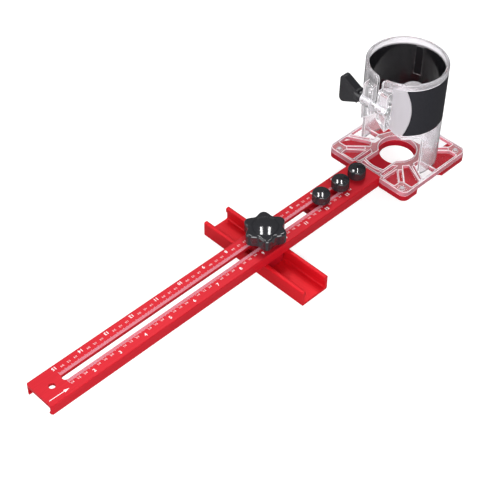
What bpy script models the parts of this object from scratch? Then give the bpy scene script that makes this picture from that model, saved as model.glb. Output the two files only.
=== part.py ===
"""Router circle cutting jig: a slotted rail arm, a sliding cross fence and a clear clamp base for a router.

The part stands on the fence and the base plate. World X runs along the arm towards the router, world Z is up,
and the origin lies on the ground under the middle of the whole part. All lengths are in metres.
"""

import math

import bmesh
import bpy
from mathutils import Matrix, Vector

# Shared fits
CLEARANCE = 0.0003
CUT_OVERRUN = 0.004
WELD_DISTANCE = 0.00001
ARC_STEP_ANGLE = math.radians(20)
ROUND_STEPS = 40
SMALL_ROUND_STEPS = 20
COLLAR_STEPS = 72
SMOOTH_ANGLE = math.radians(32)

# Rail arm
ARM_LENGTH = 0.3620
ARM_WIDTH = 0.0307
ARM_HEIGHT = 0.0103
ARM_WEB = 0.0030
ARM_FLANGE = 0.0023
ARM_LIP_REACH = 0.0013
ARM_LIP_HEIGHT = 0.0020
ARM_EDGE_RADIUS = 0.0009
ARM_ROOT_RADIUS = 0.0012
ARM_PLAN_RADIUS = 0.0025
SLOT_WIDTH = 0.0062
SLOT_START = 0.0224
PIVOT_HOLE_DIAMETER = 0.0055
PIVOT_HOLE_PLACE = 0.0127

# Cross fence
FENCE_LENGTH = 0.1150
FENCE_WIDTH = 0.0294
FENCE_HEIGHT = 0.0150
FENCE_FLOOR = 0.0023
FENCE_WALL = 0.0024
FENCE_BEAD_WIDTH = 0.0038
FENCE_BEAD_HEIGHT = 0.0045
FENCE_BEAD_RADIUS = 0.0012
FENCE_FOOT_RADIUS = 0.0012
FENCE_ROOT_RADIUS = 0.0014
FENCE_INSET = 0.1270
FENCE_SCREW_SPACING = 0.0150
FENCE_SCREW_DIAMETER = 0.0030
FENCE_SCREW_HEAD = 0.0058
FENCE_SCREW_HEAD_DEPTH = 0.0015
FENCE_SCREW_GRIP = 0.0100
BLOCK_EDGE_RADIUS = 0.0010

# Star knob on the fence
STUD_DIAMETER = 0.0050
STUD_TIP_CHAMFER = 0.0006
STAR_WASHER_DIAMETER = 0.0140
STAR_WASHER_THICKNESS = 0.0010
STAR_LOBES = 6
STAR_TIP_RADIUS = 0.0186
STAR_LOBE_DEPTH = 0.0040
STAR_FIRST_TIP_ANGLE = math.radians(50)
STAR_STEPS_PER_LOBE = 10
STAR_HUB_RADIUS = 0.0085
STAR_HUB_HEIGHT = 0.0018
STAR_BODY_HEIGHT = 0.0114
STAR_EDGE_BEVEL = 0.0022
STAR_CROWN_RADIUS = 0.0110
STAR_CROWN_HEIGHT = 0.0016
STAR_STUD_SEAT = 0.0080

# Round knobs that hold the arm to the base plate
ROUND_KNOB_INSETS = (0.0598, 0.0357, 0.0148)
ROUND_KNOB_DIAMETER = 0.0157
ROUND_KNOB_HEIGHT = 0.0092
ROUND_KNOB_NECK_DIAMETER = 0.0110
ROUND_KNOB_NECK_HEIGHT = 0.0008
ROUND_KNOB_EDGE_RADIUS = 0.0014
ROUND_KNOB_CROWN = 0.0007
ROUND_KNOB_TAPER = 0.0002
ROUND_KNOB_STUD_SEAT = 0.0060

# Base plate
PLATE_LENGTH = 0.0840
PLATE_WIDTH = 0.0884
ARM_SEAT_DEPTH = 0.0025
PLATE_THICKNESS = 0.0050
PLATE_CORNER_RADIUS = 0.0060
PLATE_HOLE_RADIUS = 0.0156
TONGUE_REACH = 0.0720
TONGUE_LAND_INSET = 0.0006
TONGUE_CORNER_RADIUS = 0.0020
NOTCH_RING_RADIUS = 0.0205
NOTCH_FRONT_REACH = 0.0250
NOTCH_REAR_REACH = 0.0095
NOTCH_NARROW = 0.0062
NOTCH_MOUTH_DEPTH = 0.0045
NOTCH_MOUTH_STEP = 0.0075
NOTCH_RADIUS = 0.0020
END_NOTCH_HALF_WIDTH = 0.0237
END_NOTCH_DEPTH = 0.0110
END_NOTCH_NARROW = 0.0080
BASE_SCREW_OFFSET = 0.0363
BASE_SCREW_DIAMETER = 0.0040
BASE_SCREW_HEAD = 0.0078
BASE_SCREW_HEAD_DEPTH = 0.0022
BASE_SCREW_GRIP = 0.0035

# Clear router base: flange
FLANGE_HEIGHT = 0.0048
FLANGE_FLOOR = 0.0016
FLANGE_RIM = 0.0022
FLANGE_RIB = 0.0013
FLANGE_HOLE_RADIUS = 0.0170
FLANGE_RING_RADIUS = 0.0240
FLANGE_POCKET_RADIUS = 0.0010
FLANGE_BOSS_RADIUS = 0.0058
TWIN_RIB_HALF_GAP = 0.0015
TWIN_RIB_GAP_START = 0.0290
CHIP_OPENING_HALF_WIDTH = 0.0100
CHIP_RIB = 0.0022
WINDOW_RIB_SLANT_SHARE = 0.56
WINDOW_RIB_INNER = 0.0088
WINDOW_GROOVE = 0.0020
WINDOW_REAR_EDGE = 0.0015

# Clear router base: collar and clamp ears
COLLAR_BORE_RADIUS = 0.0325
COLLAR_WALL = 0.0027
COLLAR_TOP_RISE = 0.0955
COLLAR_EDGE_RADIUS = 0.0008
ARCH_HALF_ANGLE = math.radians(72)
ARCH_TOP_RISE = 0.0385
ARCH_CORNER_RADIUS = 0.0070
SPLIT_WIDTH = 0.0050
SPLIT_PEAK_DROP = 0.0121
SPLIT_FOOT_HALF_WIDTH = 0.0225
SPLIT_TOP_RADIUS = 0.0050
RIM_TAB_ANGLE = math.radians(227)
RIM_TAB_HALF_WIDTH = 0.0070
RIM_TAB_HEIGHT = 0.0032
RIM_TAB_INSET = 0.0003
EAR_REACH = 0.0130
EAR_FRONT_REACH = 0.0022
EAR_BOSS_RADIUS = 0.0056
EAR_TOP_RISE = 0.0860
EAR_SIDE_FOOT_RISE = 0.0485
EAR_FOOT_SLANT = 0.0091
EAR_CORNER_RADIUS = 0.0030
EAR_ROOT_DEPTH = 0.0030
CLAMP_AXIS_OFFSET = 0.0378
CLAMP_AXIS_RISE = 0.0691
CLAMP_SCREW_DIAMETER = 0.0040
CLAMP_SCREW_TIP_REACH = 0.0143
NUT_ACROSS_FLATS = 0.0070
NUT_THICKNESS = 0.0040
NUT_POCKET_DEPTH = 0.0036

# Grip sleeve
SLEEVE_THICKNESS = 0.0013
SLEEVE_BOTTOM_RISE = 0.0424
SLEEVE_TOP_RISE = 0.0894
SLEEVE_EDGE_RADIUS = 0.0004
SLEEVE_END_HALF_WIDTH = 0.0227
SLEEVE_NOTCH_DEPTH = 0.0041
KEYWAY_START_ANGLE = math.radians(14)
KEYWAY_END_ANGLE = math.radians(26)
KEYWAY_BOTTOM_RISE = 0.0590
KEYWAY_TOP_RISE = 0.0880

# Wing knob
WING_WASHER_DIAMETER = 0.0092
WING_WASHER_THICKNESS = 0.0008
WING_LENGTH = 0.0230
WING_HUB_RADIUS = 0.0050
WING_HUB_LENGTH = 0.0050
WING_NECK_HALF_HEIGHT = 0.0062
WING_TIP_HALF_HEIGHT = 0.0152
WING_THICKNESS = 0.0070
WING_CORNER_RADIUS = 0.0035
WING_EDGE_BEVEL = 0.0018
WING_DISH_RADIUS = 0.0300
WING_DISH_DEPTH = 0.0011
WING_DISH_PLACE = 0.0150
WING_SCREW_SEAT = 0.0070

# Places worked out from the sizes above
OVERALL_LENGTH = ARM_LENGTH + CLEARANCE - ARM_SEAT_DEPTH + PLATE_LENGTH
ARM_START_X = -OVERALL_LENGTH / 2
ARM_END_X = ARM_START_X + ARM_LENGTH
ARM_BOTTOM_Z = FENCE_HEIGHT + CLEARANCE
ARM_TOP_Z = ARM_BOTTOM_Z + ARM_HEIGHT
WEB_UNDERSIDE_Z = ARM_TOP_Z - ARM_WEB
ARM_INNER_HALF_WIDTH = ARM_WIDTH / 2 - ARM_FLANGE
LIP_HALF_GAP = ARM_INNER_HALF_WIDTH - ARM_LIP_REACH
FENCE_X = ARM_END_X - FENCE_INSET
KNOB_XS = tuple(ARM_END_X - inset for inset in ROUND_KNOB_INSETS)
SLOT_START_X = ARM_START_X + SLOT_START
SLOT_END_X = KNOB_XS[1] + SLOT_WIDTH / 2
PLATE_TOP_Z = ARM_BOTTOM_Z + PLATE_THICKNESS
PLATE_START_X = ARM_END_X + CLEARANCE - ARM_SEAT_DEPTH
BASE_X = PLATE_START_X + PLATE_LENGTH / 2
HALF_LENGTH = PLATE_LENGTH / 2
HALF_WIDTH = PLATE_WIDTH / 2
SEAT_HALF_WIDTH = ARM_WIDTH / 2 + CLEARANCE
FLANGE_BOTTOM_Z = PLATE_TOP_Z + CLEARANCE
FLANGE_FLOOR_Z = FLANGE_BOTTOM_Z + FLANGE_FLOOR
FLANGE_TOP_Z = FLANGE_BOTTOM_Z + FLANGE_HEIGHT
COLLAR_TOP_Z = ARM_TOP_Z + COLLAR_TOP_RISE
CLAMP_X = BASE_X - CLAMP_AXIS_OFFSET
CLAMP_Z = ARM_TOP_Z + CLAMP_AXIS_RISE
SPLIT_PEAK_RISE = CLAMP_AXIS_RISE - SPLIT_PEAK_DROP
COLLAR_OUTER_RADIUS = COLLAR_BORE_RADIUS + COLLAR_WALL
SLEEVE_INNER_RADIUS = COLLAR_OUTER_RADIUS - SLEEVE_THICKNESS
STUD_RADIUS = STUD_DIAMETER / 2
CLAMP_HOLE_RADIUS = CLAMP_SCREW_DIAMETER / 2 + CLEARANCE

# Axes of a flat outline: where its own X, Y and thickness point
IN_PLAN = Matrix.Identity(3)
ACROSS_ARM = Matrix(((0, 0, 1), (1, 0, 0), (0, 1, 0)))
ALONG_ARM = Matrix(((1, 0, 0), (0, 0, -1), (0, 1, 0)))


def start_empty_scene():
    """Remove every object and make the collections for parts and cutters."""
    for item in list(bpy.data.objects):
        bpy.data.objects.remove(item, do_unlink=True)
    made = []
    for name in ("router_circle_jig", "cutters"):
        collection = bpy.data.collections.new(name)
        bpy.context.scene.collection.children.link(collection)
        made.append(collection)
    return made


PARTS, CUTTERS = start_empty_scene()


def make_material(name, colour, roughness, metallic, transmission=0.0):
    """Return a Principled material."""
    material = bpy.data.materials.new(name)
    material.use_nodes = True
    shader = material.node_tree.nodes["Principled BSDF"]
    shader.inputs["Base Color"].default_value = (*colour, 1.0)
    shader.inputs["Roughness"].default_value = roughness
    shader.inputs["Metallic"].default_value = metallic
    shader.inputs["Transmission Weight"].default_value = transmission
    return material


RED = make_material("red_anodised", (0.62, 0.01, 0.02), 0.35, 0.6)
BLACK_PLASTIC = make_material("black_plastic", (0.012, 0.012, 0.014), 0.25, 0.0)
BLACK_RUBBER = make_material("black_rubber", (0.02, 0.02, 0.023), 0.75, 0.0)
CLEAR_PLASTIC = make_material("clear_plastic", (0.93, 0.94, 0.96), 0.08, 0.0, 1.0)
STEEL = make_material("zinc_steel", (0.62, 0.63, 0.65), 0.3, 1.0)


def rounded_loop(corners):
    """Return the points of a closed outline, each corner given as x, y and its rounding radius."""
    points = []
    for index, (x, y, radius) in enumerate(corners):
        corner = Vector((x, y))
        if radius <= 0:
            points.append((x, y))
            continue
        following = corners[(index + 1) % len(corners)]
        before = (Vector(corners[index - 1][:2]) - corner).normalized()
        after = (Vector(following[:2]) - corner).normalized()
        half_angle = before.angle(after) / 2
        centre = corner + (before + after).normalized() * (radius / math.sin(half_angle))
        reach = radius / math.tan(half_angle)
        start = corner + before * reach - centre
        end = corner + after * reach - centre
        start_angle = math.atan2(start.y, start.x)
        turn = math.remainder(math.atan2(end.y, end.x) - start_angle, math.tau)
        steps = max(1, math.ceil(abs(turn) / ARC_STEP_ANGLE))
        for step in range(steps + 1):
            angle = start_angle + turn * step / steps
            points.append((centre.x + radius * math.cos(angle), centre.y + radius * math.sin(angle)))
    return points


def mirrored_corners(half):
    """Complete an outline from its +X half, which is listed from the first to the last corner."""
    return half + [(-x, y, radius) for x, y, radius in reversed(half)]


def arc_points(radius, start_angle, end_angle, step_angle=ARC_STEP_ANGLE / 2):
    """Return points along an arc about the outline's origin, both ends included."""
    steps = max(1, math.ceil(abs(end_angle - start_angle) / step_angle))
    angles = [start_angle + (end_angle - start_angle) * step / steps for step in range(steps + 1)]
    return [(radius * math.cos(angle), radius * math.sin(angle)) for angle in angles]


def slot_loop(start, end, width):
    """Return a round-ended slot along X from start to end."""
    radius = width / 2
    near = [(start + radius + x, y) for x, y in arc_points(radius, math.pi / 2, 1.5 * math.pi)]
    far = [(end - radius + x, y) for x, y in arc_points(radius, -math.pi / 2, math.pi / 2)]
    return near + far


def link(item, collection, material=None):
    """Put an object in its collection, as a wire guide where it is a cutter."""
    collection.objects.link(item)
    if collection == CUTTERS:
        item.hide_render = True
        item.display_type = "WIRE"
    if material is not None:
        item.data.materials.append(material)
    return item


def flat_solid(name, loops, thickness, axes, place, collection=None, material=None):
    """Return a solid whose outline is drawn by loops of points, from place along its thickness."""
    curve = bpy.data.curves.new(name, "CURVE")
    curve.dimensions = "2D"
    curve.fill_mode = "BOTH"
    curve.extrude = thickness / 2
    for loop in loops:
        spline = curve.splines.new("POLY")
        spline.points.add(len(loop) - 1)
        for point, (x, y) in zip(spline.points, loop):
            point.co = (x, y, 0, 1)
        spline.use_cyclic_u = True
    guide = bpy.data.objects.new(name + "_outline", curve)
    bpy.context.scene.collection.objects.link(guide)
    turn = axes.to_4x4()
    guide.matrix_world = Matrix.Translation(place) @ turn @ Matrix.Translation((0, 0, thickness / 2))
    bpy.context.view_layer.update()
    evaluated = guide.evaluated_get(bpy.context.evaluated_depsgraph_get())
    mesh = bpy.data.meshes.new_from_object(evaluated)
    mesh.name = name
    mesh.materials.clear()
    mesh.transform(guide.matrix_world)
    bpy.data.objects.remove(guide, do_unlink=True)
    weld_and_face_out(mesh)
    item = bpy.data.objects.new(name, mesh)
    return link(item, collection or CUTTERS, material)


def weld_and_face_out(mesh):
    """Weld a mesh's touching points and turn its faces outward."""
    shape = bmesh.new()
    shape.from_mesh(mesh)
    bmesh.ops.remove_doubles(shape, verts=shape.verts, dist=WELD_DISTANCE)
    bmesh.ops.recalc_face_normals(shape, faces=shape.faces)
    shape.to_mesh(mesh)
    shape.free()


def turned_solid(name, profile, place, collection=None, material=None, steps=ROUND_STEPS, turn=None):
    """Return a solid turned about Z from a profile of (radius, height) points, top to bottom."""
    mesh = bpy.data.meshes.new(name)
    edges = [(index, index + 1) for index in range(len(profile) - 1)]
    closed = profile[0][0] > 0
    if closed:
        edges.append((len(profile) - 1, 0))
    mesh.from_pydata([(radius, 0, height) for radius, height in profile], edges, [])
    item = bpy.data.objects.new(name, mesh)
    link(item, collection or CUTTERS, material)
    screw = item.modifiers.new("turn", "SCREW")
    screw.steps = steps
    screw.render_steps = steps
    screw.use_merge_vertices = True
    screw.merge_threshold = WELD_DISTANCE
    item.matrix_world = Matrix.Translation(place) @ (turn or Matrix.Identity(3)).to_4x4()
    return item


def rod(name, radius, bottom, top, place, chamfer=0, **options):
    """Return a turned rod between two heights above its place, with chamfered ends."""
    side = [(radius, top), (radius, bottom)]
    if chamfer > 0:
        tip = radius - chamfer
        side = [(tip, top), (radius, top - chamfer), (radius, bottom + chamfer), (tip, bottom)]
    return turned_solid(name, [(0, top)] + side + [(0, bottom)], place, **options)


def combine(item, other, operation="DIFFERENCE"):
    """Cut, join or trim one object with another."""
    modifier = item.modifiers.new(other.name, "BOOLEAN")
    modifier.operation = operation
    modifier.solver = "EXACT"
    modifier.object = other
    return item


def add_bevel(item, width, segments=2, angle=math.radians(40)):
    """Round an object's edges that are sharper than an angle."""
    bevel = item.modifiers.new("rounding", "BEVEL")
    bevel.width = width
    bevel.segments = segments
    bevel.limit_method = "ANGLE"
    bevel.angle_limit = angle
    return bevel


def shade_round(item):
    """Shade a round piece smooth, with its corners kept sharp."""
    item.data.shade_smooth()
    item.data.set_sharp_from_angle(angle=SMOOTH_ANGLE)


def set_origin(item, place):
    """Move an object's origin to a place and keep its mesh where it is."""
    offset = Vector(place) - item.matrix_world.translation
    item.data.transform(Matrix.Translation(item.matrix_world.to_3x3().inverted() @ -offset))
    item.matrix_world.translation = Vector(place)


def arm_outline():
    """Return the arm's section, a channel open downward with lips turned in."""
    half = ARM_WIDTH / 2
    lip_top = ARM_BOTTOM_Z + ARM_LIP_HEIGHT
    lip_radius = ARM_LIP_REACH / 3
    right = [
        (half, ARM_TOP_Z, ARM_EDGE_RADIUS),
        (half, ARM_BOTTOM_Z, ARM_EDGE_RADIUS),
        (LIP_HALF_GAP, ARM_BOTTOM_Z, lip_radius),
        (LIP_HALF_GAP, lip_top, lip_radius),
        (ARM_INNER_HALF_WIDTH, lip_top, 0),
        (ARM_INNER_HALF_WIDTH, WEB_UNDERSIDE_Z, ARM_ROOT_RADIUS),
    ]
    return rounded_loop(mirrored_corners(right))


def make_rail_arm():
    """Make the slotted rail arm."""
    arm = flat_solid("rail_arm", [arm_outline()], ARM_LENGTH, ACROSS_ARM, (ARM_START_X, 0, 0), PARTS, RED)
    half = ARM_WIDTH / 2
    low = ARM_BOTTOM_Z - CUT_OVERRUN
    depth = ARM_HEIGHT + CUT_OVERRUN * 2
    corner_loop = rounded_loop([
        (ARM_START_X, half, ARM_PLAN_RADIUS),
        (ARM_START_X, -half, ARM_PLAN_RADIUS),
        (ARM_END_X, -half, ARM_PLAN_RADIUS / 5),
        (ARM_END_X, half, ARM_PLAN_RADIUS / 5),
    ])
    plan = flat_solid("arm_plan_trim", [corner_loop], depth, IN_PLAN, (0, 0, low))
    combine(arm, plan, "INTERSECT")
    slot = slot_loop(SLOT_START_X, SLOT_END_X, SLOT_WIDTH)
    combine(arm, flat_solid("arm_slot_cut", [slot], depth, IN_PLAN, (0, 0, low)))
    holes = [("pivot_hole_cut", ARM_START_X + PIVOT_HOLE_PLACE, PIVOT_HOLE_DIAMETER)]
    holes.append(("third_knob_hole_cut", KNOB_XS[2], STUD_DIAMETER + CLEARANCE * 4))
    for name, x, diameter in holes:
        cut = rod(name, diameter / 2, 0, depth, (x, 0, low), steps=SMALL_ROUND_STEPS)
        combine(arm, cut)
    return arm


def make_fence():
    """Make the cross fence channel with its two countersunk holes."""
    half = FENCE_WIDTH / 2
    bead_bottom = FENCE_HEIGHT - FENCE_BEAD_HEIGHT
    right = [
        (half, 0, FENCE_FOOT_RADIUS),
        (half, FENCE_HEIGHT, FENCE_BEAD_RADIUS),
        (half - FENCE_BEAD_WIDTH, FENCE_HEIGHT, FENCE_BEAD_RADIUS),
        (half - FENCE_BEAD_WIDTH, bead_bottom, 0),
        (half - FENCE_WALL, bead_bottom, 0),
        (half - FENCE_WALL, FENCE_FLOOR, FENCE_ROOT_RADIUS),
    ]
    start = (FENCE_X, FENCE_LENGTH / 2, 0)
    loop = rounded_loop(mirrored_corners(right))
    fence = flat_solid("fence_channel", [loop], FENCE_LENGTH, ALONG_ARM, start, PARTS, RED)
    for number, x in enumerate(fence_screw_xs(), 1):
        cut = countersunk_screw(
            "fence_hole_cut_%d" % number, (x, 0, 0), FENCE_SCREW_DIAMETER, FENCE_SCREW_HEAD,
            FENCE_SCREW_HEAD_DEPTH, FENCE_FLOOR + CUT_OVERRUN, CLEARANCE,
        )
        combine(fence, cut)
    return fence


def fence_screw_xs():
    """Return where the two fence screws stand along the arm."""
    return (FENCE_X - FENCE_SCREW_SPACING / 2, FENCE_X + FENCE_SCREW_SPACING / 2)


def countersunk_screw(name, place, diameter, head, head_depth, length, growth=0.0, **options):
    """Return a screw that points up from its flat head, or the larger hole that it fits."""
    shank = diameter / 2 + growth
    rim = head / 2 + growth
    bottom = -CUT_OVERRUN if growth > 0 else 0
    profile = [(0, length), (shank, length), (shank, head_depth + growth), (rim, growth)]
    if growth > 0:
        profile.append((rim, bottom))
    profile.append((0, bottom))
    item = turned_solid(name, profile, place, steps=SMALL_ROUND_STEPS, **options)
    if growth <= 0:
        shade_round(item)
    return item


def make_guide_block():
    """Make the block that keys the fence to the arm and takes the star knob's stud."""
    inner = FENCE_WIDTH / 2 - FENCE_BEAD_WIDTH - CLEARANCE
    side = LIP_HALF_GAP - CLEARANCE
    bottom = FENCE_FLOOR + CLEARANCE
    height = WEB_UNDERSIDE_Z - CLEARANCE - bottom
    loop = rounded_loop(mirror_heights([(-inner, side, BLOCK_EDGE_RADIUS), (inner, side, BLOCK_EDGE_RADIUS)]))
    block = flat_solid("guide_block", [loop], height, IN_PLAN, (FENCE_X, 0, bottom), PARTS, RED)
    holes = [("block_stud_cut", FENCE_X, STUD_RADIUS, height + CUT_OVERRUN)]
    for number, x in enumerate(fence_screw_xs(), 1):
        holes.append(("block_screw_cut_%d" % number, x, FENCE_SCREW_DIAMETER / 2, FENCE_SCREW_GRIP))
    for name, x, radius, top in holes:
        cut = rod(name, radius + CLEARANCE, -CUT_OVERRUN, top, (x, 0, bottom), steps=SMALL_ROUND_STEPS)
        combine(block, cut)
    return block


def make_fence_screws():
    """Make the two countersunk screws that hold the block to the fence."""
    for number, x in enumerate(fence_screw_xs(), 1):
        countersunk_screw(
            "fence_screw_%d" % number, (x, 0, CLEARANCE), FENCE_SCREW_DIAMETER, FENCE_SCREW_HEAD,
            FENCE_SCREW_HEAD_DEPTH, FENCE_SCREW_GRIP, collection=PARTS, material=STEEL,
        )


def star_loop():
    """Return the star knob's outline, round lobes with hollows between them."""
    points = []
    count = STAR_LOBES * STAR_STEPS_PER_LOBE
    for step in range(count):
        angle = math.tau * step / count
        wave = (1 - math.cos(STAR_LOBES * angle)) / 2
        radius = STAR_TIP_RADIUS - STAR_LOBE_DEPTH * wave
        turned = angle + STAR_FIRST_TIP_ANGLE
        points.append((radius * math.cos(turned), radius * math.sin(turned)))
    return points


def make_star_knob():
    """Make the star knob, its stud and its washer."""
    washer_bottom = ARM_TOP_Z + CLEARANCE
    washer_top = washer_bottom + STAR_WASHER_THICKNESS
    washer = turned_solid(
        "star_washer", washer_profile(STAR_WASHER_DIAMETER / 2, STAR_WASHER_THICKNESS),
        (FENCE_X, 0, washer_bottom), PARTS, STEEL,
    )
    shade_round(washer)
    hub_bottom = washer_top + CLEARANCE
    body_bottom = hub_bottom + STAR_HUB_HEIGHT
    body_place = (FENCE_X, 0, body_bottom)
    knob = flat_solid("star_knob", [star_loop()], STAR_BODY_HEIGHT, IN_PLAN, body_place, PARTS, BLACK_PLASTIC)
    set_origin(knob, body_place)
    add_bevel(knob, STAR_EDGE_BEVEL, 3)
    hub = rod("star_hub_join", STAR_HUB_RADIUS, 0, STAR_HUB_HEIGHT + CUT_OVERRUN, (FENCE_X, 0, hub_bottom))
    combine(knob, hub, "UNION")
    crown = turned_solid(
        "star_crown_join", crown_profile(STAR_CROWN_RADIUS, STAR_CROWN_HEIGHT),
        (FENCE_X, 0, body_bottom + STAR_BODY_HEIGHT),
    )
    combine(knob, crown, "UNION")
    seat_top = hub_bottom + STAR_STUD_SEAT
    combine(knob, rod(
        "star_seat_cut", STUD_RADIUS + CLEARANCE, hub_bottom - CUT_OVERRUN, seat_top + CLEARANCE,
        (FENCE_X, 0, 0), steps=SMALL_ROUND_STEPS,
    ))
    shade_round(knob)
    stud_bottom = FENCE_FLOOR + CLEARANCE * 2
    stud = rod(
        "star_stud", STUD_RADIUS, stud_bottom, seat_top, (FENCE_X, 0, 0), STUD_TIP_CHAMFER,
        collection=PARTS, material=STEEL, steps=SMALL_ROUND_STEPS,
    )
    shade_round(stud)


def washer_profile(outer, thickness):
    """Return a washer's section round the stud."""
    inner = STUD_RADIUS + CLEARANCE
    return [(inner, thickness), (outer, thickness), (outer, 0), (inner, 0)]


def crown_profile(radius, height):
    """Return a low dome's section, sunk into the face that carries it."""
    sphere = (radius ** 2 + height ** 2) / (2 * height)
    span = math.asin(radius / sphere)
    steps = 5
    angles = [span * step / steps for step in range(steps + 1)]
    dome = [(sphere * math.sin(angle), height - sphere + sphere * math.cos(angle)) for angle in angles]
    return dome + [(radius, -height), (0, -height)]


def make_round_knobs():
    """Make the three round knobs with their studs."""
    neck_bottom = ARM_TOP_Z + CLEARANCE
    body_bottom = ROUND_KNOB_NECK_HEIGHT
    body_top = body_bottom + ROUND_KNOB_HEIGHT
    radius = ROUND_KNOB_DIAMETER / 2
    crown_radius = radius - ROUND_KNOB_EDGE_RADIUS
    edge_steps = 4
    edge = []
    for step in range(edge_steps + 1):
        angle = math.pi / 2 * (1 - step / edge_steps)
        edge.append((
            crown_radius + ROUND_KNOB_EDGE_RADIUS * math.cos(angle),
            body_top - ROUND_KNOB_EDGE_RADIUS + ROUND_KNOB_EDGE_RADIUS * math.sin(angle),
        ))
    neck = ROUND_KNOB_NECK_DIAMETER / 2
    crown_top = body_top + ROUND_KNOB_CROWN
    crown_side = body_top + ROUND_KNOB_CROWN * 3 / 4
    seat_radius = STUD_RADIUS + CLEARANCE
    seat_top = ROUND_KNOB_STUD_SEAT + CLEARANCE
    profile = [(0, crown_top), (crown_radius / 2, crown_side)] + edge
    profile += [(radius - ROUND_KNOB_TAPER, body_bottom), (neck, body_bottom), (neck, 0)]
    profile += [(seat_radius, 0), (seat_radius, seat_top), (0, seat_top)]
    for number, x in enumerate(KNOB_XS, 1):
        place = (x, 0, neck_bottom)
        knob = turned_solid("round_knob_%d" % number, profile, place, PARTS, BLACK_PLASTIC, 32)
        shade_round(knob)
        stud_bottom = ARM_BOTTOM_Z - neck_bottom
        stud = rod(
            "knob_stud_%d" % number, STUD_RADIUS, stud_bottom, ROUND_KNOB_STUD_SEAT, place, STUD_TIP_CHAMFER,
            collection=PARTS, material=STEEL, steps=SMALL_ROUND_STEPS,
        )
        shade_round(stud)


def side_notch_loop(side):
    """Return the notch in the plate's side at +Y or -Y, in the base's own plan."""
    inner = NOTCH_RING_RADIUS
    shoulder = HALF_WIDTH - NOTCH_MOUTH_DEPTH
    corners = [
        (-NOTCH_FRONT_REACH, HALF_WIDTH + CUT_OVERRUN, 0),
        (-NOTCH_FRONT_REACH, HALF_WIDTH, NOTCH_RADIUS),
        (-NOTCH_FRONT_REACH + NOTCH_MOUTH_STEP, shoulder, NOTCH_RADIUS),
        (-NOTCH_NARROW, inner, NOTCH_RADIUS),
        (NOTCH_NARROW, inner, NOTCH_RADIUS),
        (NOTCH_NARROW, shoulder, NOTCH_RADIUS),
        (NOTCH_REAR_REACH, HALF_WIDTH, NOTCH_RADIUS),
        (NOTCH_REAR_REACH, HALF_WIDTH + CUT_OVERRUN, 0),
    ]
    return [(x, side * y) for x, y in rounded_loop(corners)]


def make_base_plate():
    """Make the notched plate with the tongue that slides into the arm."""
    side = LIP_HALF_GAP - CLEARANCE
    start_x = ARM_END_X - TONGUE_REACH - BASE_X
    seat_x = ARM_SEAT_DEPTH - HALF_LENGTH
    loop = rounded_loop(mirror_heights([
        (start_x, side, TONGUE_CORNER_RADIUS),
        (seat_x, side, 0),
        (seat_x, SEAT_HALF_WIDTH, 0),
        (-HALF_LENGTH, SEAT_HALF_WIDTH, 0),
        (-HALF_LENGTH, HALF_WIDTH, PLATE_CORNER_RADIUS),
        (HALF_LENGTH, HALF_WIDTH, PLATE_CORNER_RADIUS),
    ]))
    plate = flat_solid("base_plate", [loop], PLATE_THICKNESS, IN_PLAN, (BASE_X, 0, ARM_BOTTOM_Z), PARTS, RED)
    inset = TONGUE_LAND_INSET
    land_end = seat_x - CLEARANCE - inset
    land_side = side - inset
    land_loop = rounded_loop(mirror_heights([
        (start_x + inset, land_side, TONGUE_CORNER_RADIUS),
        (land_end, land_side, 0),
    ]))
    land_bottom = ARM_BOTTOM_Z + PLATE_THICKNESS / 2
    land_height = WEB_UNDERSIDE_Z - CLEARANCE - land_bottom
    land = flat_solid("tongue_land_join", [land_loop], land_height, IN_PLAN, (BASE_X, 0, land_bottom))
    combine(plate, land, "UNION")
    low = ARM_BOTTOM_Z - CUT_OVERRUN
    depth = ARM_HEIGHT + CUT_OVERRUN * 2
    for name, side_sign in (("near", -1), ("far", 1)):
        notch = [side_notch_loop(side_sign)]
        combine(plate, flat_solid("plate_notch_%s_cut" % name, notch, depth, IN_PLAN, (BASE_X, 0, low)))
    shoulder = HALF_LENGTH - END_NOTCH_DEPTH
    end_loop = rounded_loop([
        (HALF_LENGTH + CUT_OVERRUN, -END_NOTCH_HALF_WIDTH, 0),
        (HALF_LENGTH + CUT_OVERRUN, END_NOTCH_HALF_WIDTH, 0),
        (shoulder, END_NOTCH_HALF_WIDTH, NOTCH_RADIUS),
        (NOTCH_RING_RADIUS, END_NOTCH_NARROW, NOTCH_RADIUS),
        (NOTCH_RING_RADIUS, -END_NOTCH_NARROW, NOTCH_RADIUS),
        (shoulder, -END_NOTCH_HALF_WIDTH, NOTCH_RADIUS),
    ])
    combine(plate, flat_solid("plate_notch_end_cut", [end_loop], depth, IN_PLAN, (BASE_X, 0, low)))
    combine(plate, rod("plate_hole_cut", PLATE_HOLE_RADIUS, 0, depth, (BASE_X, 0, low)))
    for number, x in enumerate(KNOB_XS, 1):
        radius = STUD_RADIUS + CLEARANCE
        hole = rod("tongue_hole_cut_%d" % number, radius, 0, depth, (x, 0, low), steps=SMALL_ROUND_STEPS)
        combine(plate, hole)
    for number, (x, y) in enumerate(base_screw_places(), 1):
        cut = countersunk_screw(
            "plate_screw_cut_%d" % number, (x, y, ARM_BOTTOM_Z), BASE_SCREW_DIAMETER, BASE_SCREW_HEAD,
            BASE_SCREW_HEAD_DEPTH, PLATE_THICKNESS + CUT_OVERRUN, CLEARANCE,
        )
        combine(plate, cut)
    return plate


def base_screw_places():
    """Return the four corner screws' places in plan."""
    offset = BASE_SCREW_OFFSET
    return [(BASE_X + sx * offset, sy * offset) for sx in (-1, 1) for sy in (-1, 1)]


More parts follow.
